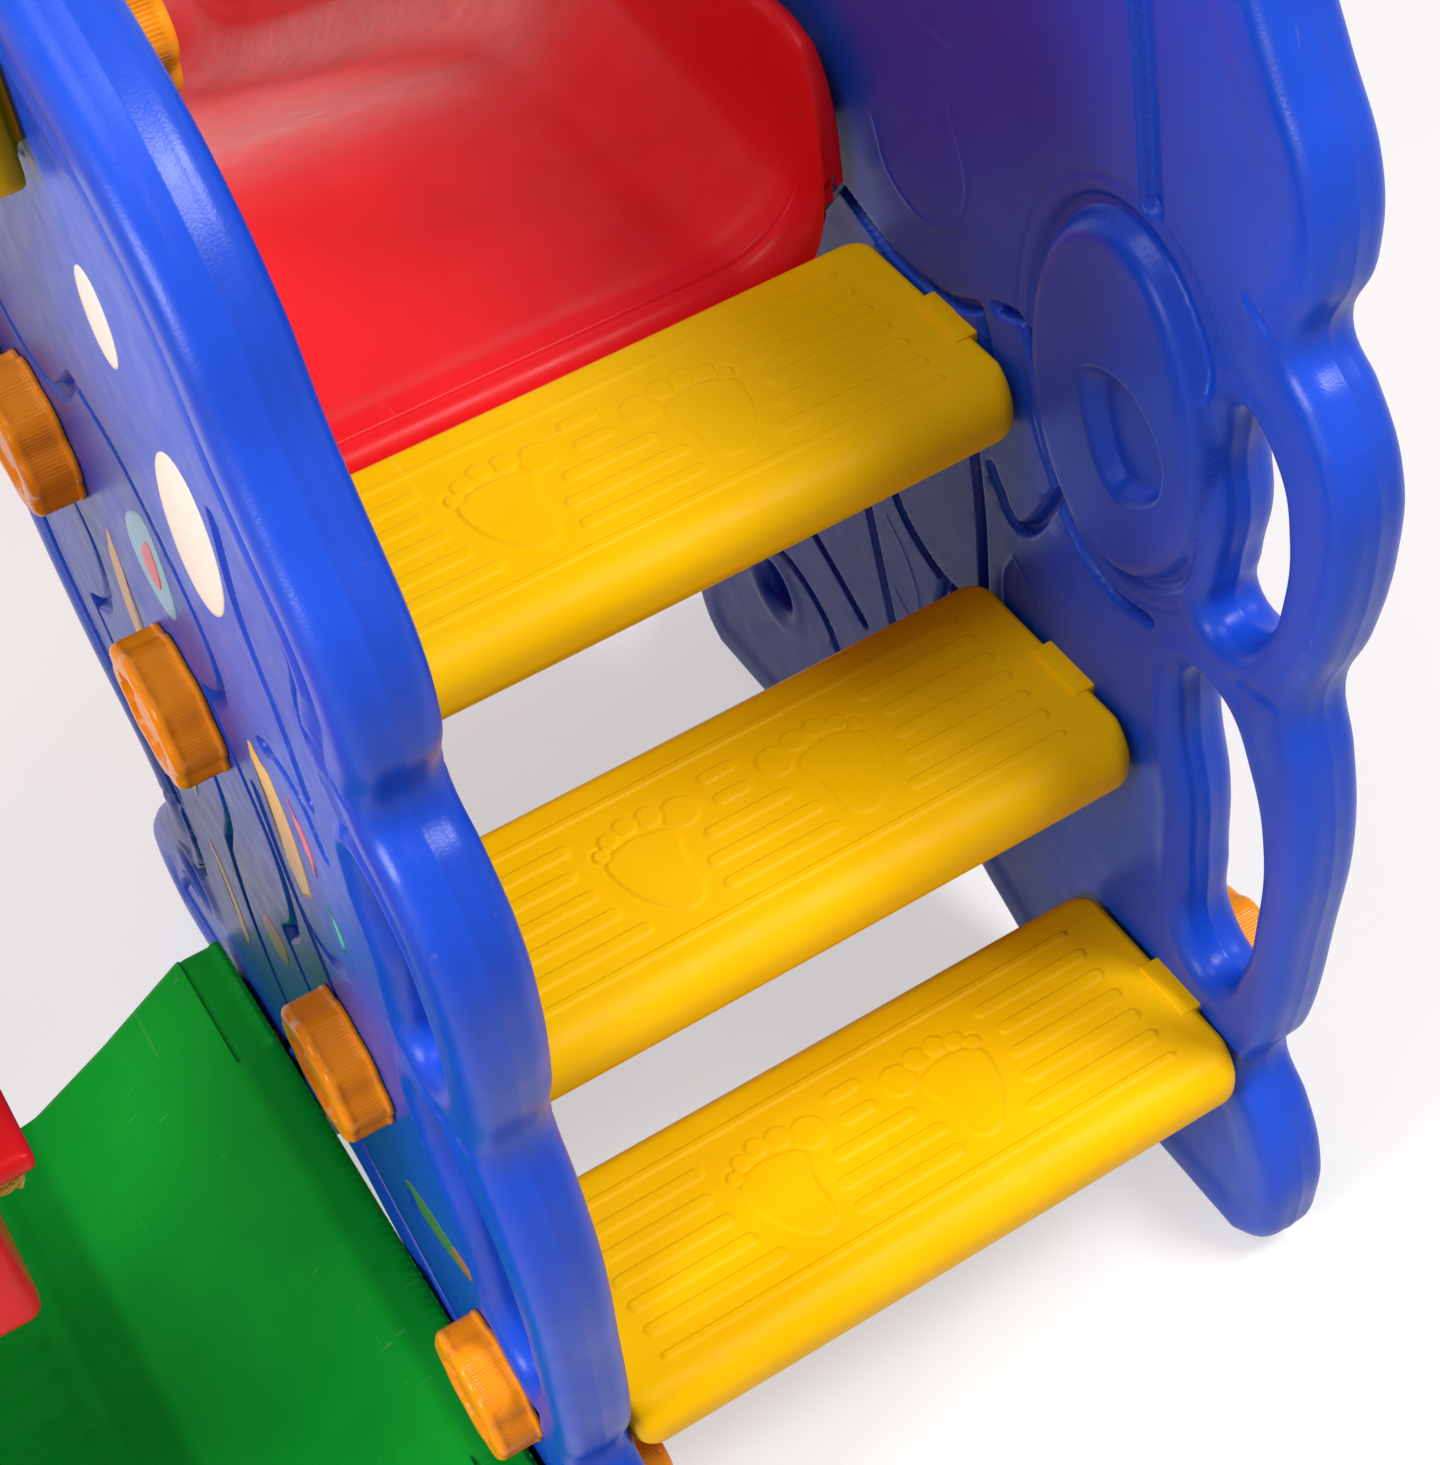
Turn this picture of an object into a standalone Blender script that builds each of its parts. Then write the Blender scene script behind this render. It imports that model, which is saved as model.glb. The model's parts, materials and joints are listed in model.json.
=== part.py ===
"""Climber, slide and swing set for toddlers: two lobed side panels carry three steps and a slide,
and a beam, an outer support and a base plate make a bay beside them where a bucket seat swings.

Metres, +Z up, floor at Z = 0. X runs across the steps, Y from the steps' front to the slide's end.
Built about the middle of the steps, then carried by one empty to the middle of the footprint.
"""

from math import cos, hypot, pi, radians, sin

import bmesh
import bpy
from mathutils import Matrix, Vector

# Running clearance between pieces that touch
GAP = 0.0003

# How far a cutter passes the face that it opens, and the room past a stud's end in its bore
OVERRUN = 0.010
LONG_OVERRUN = 0.030
BORE_SPARE = 0.002

# Side panels
CLEAR_WIDTH = 0.358
PANEL_THICK = 0.038
PANEL_ROUND = 0.009
PANEL_TOP = 0.895
PAD_RISE = 0.008
PAD_POCKET_DEPTH = 0.006

# Steps
STEP_COUNT = 3
FIRST_TREAD = 0.170
STEP_RISE = 0.160
STEP_RUN = 0.0955
STEP_DEPTH = 0.1385
STEP_BACK = 0.021
STEP_THICK = 0.040
STEP_NOSE_ROUND = 0.018
STEP_BACK_ROUND = 0.008
STEP_END_ROUND = 0.004
STEP_AXIS_Y = -0.048
TAB_LENGTH = 0.037
TAB_BACK = -0.040
TAB_BELOW = 0.009
TAB_ABOVE = 0.0015
TAB_SHOWN = 0.010
TAB_DEPTH = 0.010

# Knobs with their threaded studs
KNOB_RADIUS = 0.036
KNOB_LENGTH = 0.024
KNOB_LOBES = 8
KNOB_LOBE_RISE = 0.0028
KNOB_ROUND = 0.005
KNOB_SEAT_DEPTH = 0.003
KNOB_SEAT_MARGIN = 0.004
STUD_RADIUS = 0.008
STUD_ENGAGED = 0.030
STUD_PAST_NUT = 0.004
STUD_SHORT_OF_CHANNEL = 0.0035

# Slide
SLIDE_START = 0.0015
SLIDE_REACH = 1.155
SLIDE_DECK = 0.255
SLIDE_DECK_DROP = 0.002
SLIDE_RUN_OUT = 0.190
SLIDE_END_HEIGHT = 0.044
SLIDE_END_EDGE = 0.0019
SLIDE_WALL = 0.005
SLIDE_FLAT_HALF = 0.109
SLIDE_CORNER = 0.052
SLIDE_WALL_HEIGHT = 0.112
SLIDE_RIM = 0.0055
SLIDE_RIM_LIP = 0.012
SLIDE_TOP_BEND = 0.070
SLIDE_FOOT_BEND = 0.080
SLIDE_LIP = ((0.000, -0.030, 0.62), (0.002, -0.014, 0.72), (0.008, -0.004, 0.84), (0.018, 0.000, 0.94))
BOSS_RADIUS = 0.016
SLIDE_KNOB_RISE = 0.062
SLIDE_KNOBS_Y = (0.252, 0.352)

# Swing bay: base plate, outer support and beam
BAY_WIDTH = 0.620
BAY_Y = 0.105
BASE_FIXINGS = 0.340
BASE_MARGIN_REAR = 0.035
BASE_MARGIN_FRONT = 0.062
BASE_EDGE_HEIGHT = 0.080
BASE_LEDGE = 0.026
BASE_SLOPE = 0.120
BASE_HALFWAY = 0.50
BASE_THICK = 0.005
BASE_LIFT = 0.012
BASE_FIXING_HEIGHT = 0.044
SUPPORT_THICK = 0.038
SUPPORT_ROUND = 0.009
BEAM_BELOW_TOP = 0.075
BEAM_HEIGHT = 0.076
BEAM_DEPTH = 0.060
BEAM_ARCH = 0.022
BEAM_ROUND = 0.010
TENON_Y = 0.036
TENON_Z = 0.048
TENON_DEPTH = 0.012
NUT_RADIUS = 0.014
NUT_THICK = 0.010

# Swing
ROPE_OUTSIDE_SEAT = 0.010
EYE_RADIUS = 0.012
EYE_WIRE = 0.004
EYE_DROP = 0.020
BOLT_RADIUS = 0.005
BOLT_NUT_RADIUS = 0.010
BOLT_NUT_THICK = 0.008
BOLT_PAST_NUT = 0.004
NUT_RECESS_MARGIN = 0.003
COLLAR_THICK = 0.003
COLLAR_RIM = 0.004
ABOVE_BEAM = 0.050
PIN_RADIUS = 0.003
PIN_HEAD_RADIUS = 0.006
PIN_HEAD_THICK = 0.003
PIN_INTO_HEAD = 0.001
SHACKLE_WIRE = 0.003
SHACKLE_HALF = 0.0095
SHACKLE_DROP = 0.036
SHACKLE_BOSS_RADIUS = 0.0065
SHACKLE_BOSS_LENGTH = 0.008
SPREADER_WIRE = 0.004
SPREADER_HALF = 0.045
SPREADER_DROP = 0.050
SPREADER_CORNER = 0.007
ROPE_FROM_CORNER = 0.009
ROPE_RADIUS = 0.005
ROPE_BORE_ROOM = 0.0004
KNOT_RADIUS = 0.0095
KNOT_LENGTH = 0.018
SEAT_FLOOR = 0.285
SEAT_FORWARD = 0.019
SEAT_HALF = 0.140
SEAT_WALL = 0.006
SEAT_ROUND = 0.006
ARM_TOP = 0.130
ARM_FLANGE = 0.026
ARM_FLANGE_THICK = 0.012
ARM_MARGIN = 0.020
ROPE_FRONT_Y = 0.088
ROPE_REAR_Y = -0.100
LEG_OPENING_HALF = 0.108
SEAT_FRONT_HEIGHT = 0.045
SEAT_FRONT_CUT_Y = (0.090, 0.160)
SEAT_FRONT_CUT_TOP = 0.200
GUARD_BAR_HALF_DEPTH = 0.015
GUARD_BAR_HEIGHT = 0.022
GUARD_STEM_HALF = 0.018
GUARD_OVERHANG = 0.016
GUARD_STEM_BACK = 0.002
GUARD_STEM_PROUD = 0.010
GUARD_BORE_BELOW = 0.020
GUARD_BORE_ABOVE = 0.045
GUARD_ROUND = 0.005
GUARD_STEM_ROUND = 0.003
GUARD_BORE_ROOM = 0.0005

# Sizes that follow from those above
PANEL_INNER = CLEAR_WIDTH / 2
PANEL_OUTER = PANEL_INNER + PANEL_THICK
KNOB_BASE = PANEL_OUTER - KNOB_SEAT_DEPTH + GAP
STEP_HALF = PANEL_INNER - GAP
TOP_STEP_Y = (STEP_COUNT - 1) * STEP_RUN
TOP_TREAD = FIRST_TREAD + (STEP_COUNT - 1) * STEP_RISE
DECK_Z = TOP_TREAD - SLIDE_DECK_DROP
SLIDE_Y = TOP_STEP_Y + STEP_BACK + SLIDE_START
SUPPORT_INNER = -PANEL_OUTER - BAY_WIDTH
SUPPORT_OUTER = SUPPORT_INNER - SUPPORT_THICK
BAY_X = (SUPPORT_INNER - PANEL_OUTER) / 2
BEAM_Z = PANEL_TOP - BEAM_BELOW_TOP
FIXINGS_Y = (BAY_Y - BASE_FIXINGS / 2, BAY_Y + BASE_FIXINGS / 2)
BEAM_BOTTOM = BEAM_Z - BEAM_HEIGHT / 2
EYE_Z = BEAM_BOTTOM - EYE_DROP
PIVOT_Z = EYE_Z - EYE_RADIUS + EYE_WIRE + PIN_RADIUS + GAP
SADDLE_Z = -SHACKLE_DROP - SHACKLE_HALF
SPREADER_BASE = SADDLE_Z - SPREADER_DROP
SEAT_Z = SEAT_FLOOR - PIVOT_Z
HANGER_SPREAD = 2 * (SEAT_HALF + ROPE_OUTSIDE_SEAT)
PANEL_BORE = PANEL_THICK + OVERRUN

# Panel outline at its middle plane as (y, z), and whether the outline turns sharply there
REAR_EDGE = (
    (-0.120, 0.000, True), (-0.140, 0.020, False), (-0.147, 0.050, False), (-0.145, 0.088, False),
    (-0.130, 0.122, False), (-0.111, 0.147, False), (-0.124, 0.190, False), (-0.133, 0.273, False),
    (-0.137, 0.349, False), (-0.129, 0.400, False), (-0.119, 0.433, False), (-0.131, 0.478, False),
    (-0.138, 0.528, False), (-0.134, 0.572, False), (-0.114, 0.605, False), (-0.098, 0.621, False),
    (-0.107, 0.659, False), (-0.103, 0.700, False), (-0.080, 0.739, False), (-0.066, 0.763, False),
    (-0.051, 0.801, False), (-0.020, 0.838, False), (0.030, 0.868, False),
)
FRONT_EDGE = (
    (0.190, 0.888, False), (0.250, 0.868, False), (0.282, 0.842, False), (0.325, 0.838, False),
    (0.372, 0.800, False), (0.384, 0.748, False), (0.372, 0.708, False), (0.410, 0.675, False),
    (0.432, 0.615, False), (0.422, 0.545, False), (0.392, 0.492, False), (0.424, 0.440, False),
    (0.428, 0.370, False), (0.400, 0.300, False), (0.344, 0.216, False), (0.380, 0.160, False),
    (0.424, 0.110, False), (0.455, 0.058, False), (0.449, 0.020, False), (0.430, 0.000, True),
)
ARCH_EDGE = (
    (0.225, 0.000, True), (0.212, 0.040, False), (0.192, 0.070, False), (0.152, 0.090, False),
    (0.112, 0.070, False), (0.060, 0.042, False), (0.000, 0.026, False), (-0.040, 0.000, True),
)
UPPER_GRIP = (
    (-0.070, 0.574, False), (-0.090, 0.562, False), (-0.101, 0.530, False), (-0.101, 0.490, False),
    (-0.094, 0.462, False), (-0.078, 0.442, False), (-0.060, 0.443, False), (-0.059, 0.466, False),
    (-0.063, 0.500, False), (-0.058, 0.542, False),
)
LOWER_GRIP = (
    (-0.046, 0.398, False), (-0.070, 0.402, False), (-0.092, 0.374, False), (-0.105, 0.330, False),
    (-0.106, 0.275, False), (-0.100, 0.228, False), (-0.084, 0.196, False), (-0.062, 0.206, False),
    (-0.055, 0.250, False), (-0.052, 0.300, False), (-0.040, 0.355, False),
)
FOOT_HOLE = (
    (0.342, 0.113, False), (0.358, 0.128, False), (0.343, 0.145, False), (0.328, 0.130, False),
)
PAD_CENTRE = (0.004, 0.527)
PAD_HALVES = (0.060, 0.095)
PAD_POCKET = ((-0.030, 0.488), (0.020, 0.547))

# Half outline of the outer support as (distance from its middle, z)
SUPPORT_EDGE = (
    (0.225, 0.000, True), (0.239, 0.016, False), (0.236, 0.080, False), (0.205, 0.250, False),
    (0.160, 0.450, False), (0.124, 0.640, False), (0.104, 0.770, False), (0.098, 0.840, False),
    (0.068, 0.888, False),
)
SUPPORT_ARCH = ((0.112, 0.000, True), (0.106, 0.030, False), (0.075, 0.098, False))
SUPPORT_OPENING = (
    (0.085, 0.222, False), (0.120, 0.250, False), (0.108, 0.340, False), (0.082, 0.470, False),
    (0.056, 0.610, False), (0.034, 0.668, False),
)

# Side profile of the bucket seat above its own floor as (y, z)
SEAT_PROFILE = (
    (-0.135, 0.250), (-0.122, 0.272), (-0.106, 0.262), (-0.088, 0.180), (-0.060, 0.130),
    (0.100, 0.130), (0.128, 0.112), (0.134, 0.040), (0.112, 0.000), (-0.098, 0.000), (-0.122, 0.028),
)


# Scene and materials

for old in list(bpy.data.objects):
    bpy.data.objects.remove(old, do_unlink=True)

parts = bpy.data.collections.new("climber_slide_swing_set")
bpy.context.scene.collection.children.link(parts)
cutters = bpy.data.collections.new("cutters")
bpy.context.scene.collection.children.link(cutters)


def material(name, colour, roughness, metallic=0.0):
    made = bpy.data.materials.new(name)
    made.use_nodes = True
    shader = made.node_tree.nodes["Principled BSDF"]
    shader.inputs["Base Color"].default_value = (*colour, 1.0)
    shader.inputs["Roughness"].default_value = roughness
    shader.inputs["Metallic"].default_value = metallic
    return made


BLUE = material("blue_plastic", (0.010, 0.040, 0.480), 0.35)
YELLOW = material("yellow_plastic", (0.950, 0.560, 0.010), 0.38)
ORANGE = material("orange_plastic", (0.900, 0.260, 0.010), 0.35)
RED = material("red_plastic", (0.720, 0.015, 0.030), 0.40)
GREEN = material("green_plastic", (0.000, 0.210, 0.030), 0.40)
STEEL = material("zinc_plated_steel", (0.620, 0.620, 0.600), 0.30, 1.0)
ROPE = material("braided_rope", (0.850, 0.620, 0.060), 0.80)

# Local X, Y, Z of a flat outline laid along world Y, Z, X, and of one laid along world X, Z, -Y
ACROSS = Matrix(((0, 0, 1), (1, 0, 0), (0, 1, 0))).to_4x4()
ALONG = Matrix(((1, 0, 0), (0, 0, -1), (0, 1, 0))).to_4x4()


# Shapes


def place(obj, collection, finish=None):
    collection.objects.link(obj)
    if finish:
        obj.data.materials.append(finish)
    if collection is cutters:
        obj.hide_render = True
        obj.display_type = "WIRE"
    return obj


def mesh_object(name, mesh, collection, finish=None):
    mesh.shade_smooth()
    mesh.set_sharp_from_angle(angle=radians(35))
    return place(bpy.data.objects.new(name, mesh), collection, finish)


def mesh_of_curve(name, curve, matrix, collection, finish=None):
    """A mesh object with the evaluated shape of a curve, its caps welded on."""
    guide = bpy.data.objects.new(name + "_guide", curve)
    bpy.context.scene.collection.objects.link(guide)
    guide.matrix_world = matrix
    bpy.context.view_layer.update()
    evaluated = guide.evaluated_get(bpy.context.evaluated_depsgraph_get())
    mesh = bpy.data.meshes.new_from_object(evaluated)
    made = bmesh.new()
    made.from_mesh(mesh)
    bmesh.ops.remove_doubles(made, verts=made.verts, dist=0.00002)
    bmesh.ops.dissolve_degenerate(made, edges=made.edges, dist=0.00001)
    bmesh.ops.recalc_face_normals(made, faces=made.faces)
    made.to_mesh(mesh)
    made.free()
    obj = mesh_object(name, mesh, collection, finish)
    obj.matrix_world = guide.matrix_world
    bpy.data.objects.remove(guide)
    return obj


def plate(name, loops, thickness, rounding, matrix, collection, finish=None, segments=2, rings=1):
    """A flat outline with rounded edges. A loop's points are (u, v, sharp), or (u, v) on a polygon."""
    curve = bpy.data.curves.new(name, "CURVE")
    curve.dimensions = "2D"
    curve.fill_mode = "BOTH"
    curve.resolution_u = segments
    curve.extrude = thickness / 2 - rounding
    curve.bevel_depth = rounding
    curve.bevel_resolution = rings
    curve.offset = -rounding
    for loop in loops:
        if len(loop[0]) == 2:
            spline = curve.splines.new("POLY")
            spline.points.add(len(loop) - 1)
            for point, (u, v) in zip(spline.points, loop):
                point.co = (u, v, 0.0, 1.0)
        else:
            spline = curve.splines.new("BEZIER")
            spline.bezier_points.add(len(loop) - 1)
            for point, (u, v, sharp) in zip(spline.bezier_points, loop):
                point.co = (u, v, 0.0)
                kind = "VECTOR" if sharp else "AUTO"
                point.handle_left_type = kind
                point.handle_right_type = kind
        spline.use_cyclic_u = True
    return mesh_of_curve(name, curve, matrix, collection, finish)


def tube(name, points, radius, collection, finish=None, radii=None, closed=False, rings=2):
    """A round bar, wire or rope through the points."""
    curve = bpy.data.curves.new(name, "CURVE")
    curve.dimensions = "3D"
    curve.bevel_depth = radius
    curve.bevel_resolution = rings
    curve.use_fill_caps = True
    spline = curve.splines.new("POLY")
    spline.points.add(len(points) - 1)
    for index, (point, co) in enumerate(zip(spline.points, points)):
        point.co = (*co, 1.0)
        point.radius = radii[index] / radius if radii else 1.0
    spline.use_cyclic_u = closed
    return mesh_of_curve(name, curve, Matrix(), collection, finish)


def box(name, low, high, collection, finish=None, rounding=0.0):
    made = bmesh.new()
    bmesh.ops.create_cube(made, size=1.0)
    size = Vector(high) - Vector(low)
    bmesh.ops.scale(made, vec=size, verts=made.verts)
    bmesh.ops.translate(made, vec=(Vector(high) + Vector(low)) / 2, verts=made.verts)
    if rounding:
        bmesh.ops.bevel(
            made, geom=made.edges, offset=rounding, segments=2, profile=0.5, affect="EDGES"
        )
    mesh = bpy.data.meshes.new(name)
    made.to_mesh(mesh)
    made.free()
    return mesh_object(name, mesh, collection, finish)


def rod(name, start, end, radius, collection, finish=None, sides=16):
    """A cylinder, or a prism with few sides, from one point to another."""
    start = Vector(start)
    axis = Vector(end) - start
    made = bmesh.new()
    bmesh.ops.create_cone(
        made, cap_ends=True, segments=sides, radius1=radius, radius2=radius, depth=axis.length
    )
    turn = Vector((0, 0, 1)).rotation_difference(axis).to_matrix().to_4x4()
    bmesh.ops.transform(made, matrix=Matrix.Translation(start + axis / 2) @ turn, verts=made.verts)
    mesh = bpy.data.meshes.new(name)
    made.to_mesh(mesh)
    made.free()
    return mesh_object(name, mesh, collection, finish)


def combine(obj, other, operation):
    modifier = obj.modifiers.new(operation.lower() + "_" + other.name, "BOOLEAN")
    modifier.operation = operation
    modifier.object = other


def cut(obj, *others):
    for other in others:
        combine(obj, other, "DIFFERENCE")


def join(obj, *others):
    for other in others:
        combine(obj, other, "UNION")


def rounded_rectangle(low, high, radii, steps):
    """Corners in turn from (low, low): one radius and one number of arc steps for each."""
    corners = ((low[0], low[1]), (high[0], low[1]), (high[0], high[1]), (low[0], high[1]))
    points = []
    for index, (u, v) in enumerate(corners):
        radius = radii[index]
        centre_u = u + radius * (1 if index in (0, 3) else -1)
        centre_v = v + radius * (1 if index in (0, 1) else -1)
        first = pi + index * pi / 2
        for step in range(steps[index] + 1):
            angle = first + step * pi / 2 / steps[index]
            points.append((centre_u + radius * cos(angle), centre_v + radius * sin(angle)))
    return points


def ellipse(centre, halves, count):
    angles = [2 * pi * index / count for index in range(count)]
    return [(centre[0] + halves[0] * cos(a), centre[1] + halves[1] * sin(a)) for a in angles]


# Knobs: each is a lobed head with a stud that passes through a panel


def knob(name, base, inward, reach):
    """The head's base sits at x = base, and the stud runs from there by reach along inward."""
    x, y, z = base
    count = KNOB_LOBES * 3
    outline = []
    for index in range(count):
        angle = 2 * pi * index / count
        radius = KNOB_RADIUS - KNOB_LOBE_RISE * (1 - cos(KNOB_LOBES * angle)) / 2
        outline.append((radius * cos(angle), radius * sin(angle)))
    middle = Matrix.Translation((x - inward * KNOB_LENGTH / 2, y, z)) @ ACROSS
    head = plate(name, [outline], KNOB_LENGTH, KNOB_ROUND, middle, parts, ORANGE, rings=0)
    stud = rod(
        name + "_stud", (x - inward * KNOB_LENGTH / 2, y, z), (x + inward * reach, y, z),
        STUD_RADIUS, cutters, sides=12,
    )
    join(head, stud)
    return head


def knob_cutters(name, face, y, z, inward, depth):
    """The recess that a knob sits in and the bore for its stud, cut from the face at x = face."""
    seat = rod(
        name + "_seat", (face - inward * OVERRUN, y, z), (face + inward * KNOB_SEAT_DEPTH, y, z),
        KNOB_RADIUS + KNOB_SEAT_MARGIN, cutters, sides=20,
    )
    bore = rod(
        name + "_bore", (face, y, z), (face + inward * depth, y, z),
        STUD_RADIUS + GAP * 2, cutters, sides=12,
    )
    return seat, bore


def step_axis(index):
    return (
        STEP_AXIS_Y + index * STEP_RUN,
        FIRST_TREAD + index * STEP_RISE - STEP_THICK / 2,
    )


# Side panels


def tab_box(index, side, grow):
    """Corners of a step's end tab, or with grow of the pocket around it."""
    tread = FIRST_TREAD + index * STEP_RISE
    back = index * STEP_RUN + TAB_BACK
    ends = sorted((
        side * (STEP_HALF - TAB_SHOWN - grow),
        side * (PANEL_INNER + TAB_DEPTH + grow),
    ))
    low = (ends[0], back - TAB_LENGTH - grow, tread - TAB_BELOW - grow)
    high = (ends[1], back + grow, tread + TAB_ABOVE + grow)
    return low, high


def side_panel(name, side):
    outline = REAR_EDGE + ((0.110, PANEL_TOP, False),) + FRONT_EDGE + ARCH_EDGE
    middle = Matrix.Translation((side * (PANEL_INNER + PANEL_THICK / 2), 0, 0)) @ ACROSS
    loops = [outline, UPPER_GRIP, LOWER_GRIP, FOOT_HOLE]
    panel = plate(name, loops, PANEL_THICK, PANEL_ROUND, middle, parts, BLUE)
    pad_middle = Matrix.Translation((side * PANEL_INNER, 0, 0)) @ ACROSS
    pad = plate(
        name + "_pad", [ellipse(PAD_CENTRE, PAD_HALVES, 28)], 2 * PAD_RISE, PAD_RISE / 2,
        pad_middle, cutters,
    )
    join(panel, pad)
    pocket_ends = sorted((side * (PANEL_INNER - 2 * PAD_RISE),
                          side * (PANEL_INNER - PAD_RISE + PAD_POCKET_DEPTH)))
    cut(panel, box(
        name + "_pad_pocket",
        (pocket_ends[0], *PAD_POCKET[0]), (pocket_ends[1], *PAD_POCKET[1]), cutters,
    ))
    for index in range(STEP_COUNT):
        y, z = step_axis(index)
        cut(panel, *knob_cutters(
            f"{name}_step_{index}", side * PANEL_OUTER, y, z, -side, PANEL_BORE
        ))
        cut(panel, box(f"{name}_tab_{index}", *tab_box(index, side, GAP), cutters))
    for index, y in enumerate(SLIDE_KNOBS_Y):
        cut(panel, *knob_cutters(
            f"{name}_slide_{index}", side * PANEL_OUTER, y, DECK_Z + SLIDE_KNOB_RISE,
            -side, PANEL_BORE,
        ))
    return panel


def bay_face_cutters(name, face, inward, thickness):
    """Cutters in a panel that ends the swing bay: knob recesses and bores, and the beam's pocket."""
    made = []
    for index, (y, z) in enumerate([(y, BASE_FIXING_HEIGHT) for y in FIXINGS_Y] + [(BAY_Y, BEAM_Z)]):
        made.extend(knob_cutters(f"{name}_bay_{index}", face, y, z, inward, thickness + OVERRUN))
    bay_side = face + inward * thickness
    ends = sorted((bay_side - inward * (TENON_DEPTH + GAP), bay_side + inward * OVERRUN))
    made.append(box(
        name + "_beam_pocket",
        (ends[0], BAY_Y - TENON_Y / 2 - GAP, BEAM_Z - TENON_Z / 2 - GAP),
        (ends[1], BAY_Y + TENON_Y / 2 + GAP, BEAM_Z + TENON_Z / 2 + GAP), cutters,
    ))
    return made


right_panel = side_panel("right_side_panel", 1)
left_panel = side_panel("left_side_panel", -1)
cut(left_panel, *bay_face_cutters("left_side_panel", -PANEL_INNER, -1, PANEL_THICK))


# Steps and the knobs that hold them


def step(name, index):
    y = index * STEP_RUN
    tread = FIRST_TREAD + index * STEP_RISE
    outline = rounded_rectangle(
        (y + STEP_BACK - STEP_DEPTH, tread - STEP_THICK), (y + STEP_BACK, tread),
        (STEP_NOSE_ROUND, STEP_BACK_ROUND, STEP_BACK_ROUND, STEP_NOSE_ROUND), (5, 3, 3, 5),
    )
    board = plate(name, [outline], 2 * STEP_HALF, STEP_END_ROUND, ACROSS, parts, YELLOW)
    axis_y, axis_z = step_axis(index)
    for side in (-1, 1):
        end = "right" if side > 0 else "left"
        join(board, box(f"{name}_{end}_tab", *tab_box(index, side, 0.0), cutters))
        cut(board, rod(
            f"{name}_{end}_bore",
            (side * (PANEL_INNER + OVERRUN), axis_y, axis_z),
            (side * (PANEL_INNER - STUD_ENGAGED - BORE_SPARE), axis_y, axis_z),
            STUD_RADIUS + GAP, cutters, sides=12,
        ))
        knob(
            f"{end}_{name}_knob", (side * KNOB_BASE, axis_y, axis_z), -side,
            KNOB_BASE - PANEL_INNER + STUD_ENGAGED,
        )
    return board


for index, level in enumerate(("bottom", "middle", "top")):
    step(f"{level}_step", index)


# Slide


def slide_section(height):
    """Half of the channel's section from its middle to the rim, as (x, rise above the floor)."""
    points = [(0.0, 0.0), (SLIDE_FLAT_HALF * 0.5, 0.0)]
    for step_number in range(5):
        angle = -pi / 2 + step_number * pi / 8
        points.append((
            SLIDE_FLAT_HALF + SLIDE_CORNER * cos(angle), SLIDE_CORNER * (1 + sin(angle)),
        ))
    wall = SLIDE_FLAT_HALF + SLIDE_CORNER + 0.001
    top = max(height, SLIDE_CORNER + 0.004)
    points.append((wall, top - SLIDE_RIM))
    for step_number in range(1, 4):
        angle = pi - step_number * pi / 3
        points.append((
            wall + SLIDE_RIM * (1 + cos(angle)), top - SLIDE_RIM + SLIDE_RIM * sin(angle),
        ))
    points.append((wall + 2 * SLIDE_RIM, top - SLIDE_RIM - SLIDE_RIM_LIP))
    return points


def slide_stations():
    """(y, floor height, wall height) from the lip behind the top step to the run-out on the floor."""
    made = [(SLIDE_Y + dy, DECK_Z + dz, SLIDE_WALL_HEIGHT * share) for dy, dz, share in SLIDE_LIP]
    made.append((SLIDE_Y + 0.045, DECK_Z, SLIDE_WALL_HEIGHT))
    made.append((SLIDE_Y + 0.130, DECK_Z, SLIDE_WALL_HEIGHT))
    top = (SLIDE_Y + SLIDE_DECK, DECK_Z)
    bottom = (SLIDE_Y + SLIDE_REACH - SLIDE_RUN_OUT, SLIDE_END_HEIGHT + 0.012)
    slope = (top[1] - bottom[1]) / (bottom[0] - top[0])
    bend = SLIDE_TOP_BEND
    for share in (-1.0, -0.5, 0.0, 0.5, 1.0):
        y = top[0] + share * bend
        made.append((y, top[1] - slope * (y - top[0] + bend) ** 2 / (4 * bend), SLIDE_WALL_HEIGHT))
    middle = (top[0] + bottom[0]) / 2
    made.append((middle, (top[1] + bottom[1]) / 2, SLIDE_WALL_HEIGHT))
    bend = SLIDE_FOOT_BEND
    for share in (-1.0, -0.5, 0.0, 0.5, 1.0):
        y = bottom[0] + share * bend
        rise = slope * (bottom[0] + bend - y) ** 2 / (4 * bend)
        fade = 1.0 - 0.12 * (share + 1.0)
        made.append((y, bottom[1] + rise, SLIDE_WALL_HEIGHT * fade))
    end = SLIDE_Y + SLIDE_REACH
    made.append((end - 0.060, SLIDE_END_HEIGHT, SLIDE_WALL_HEIGHT * 0.66))
    made.append((end - 0.024, SLIDE_END_HEIGHT - 0.005, SLIDE_WALL_HEIGHT * 0.58))
    made.append((end - 0.007, SLIDE_END_HEIGHT - 0.017, SLIDE_WALL_HEIGHT * 0.52))
    made.append((end, SLIDE_END_EDGE, SLIDE_WALL_HEIGHT * 0.50))
    return made


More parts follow.
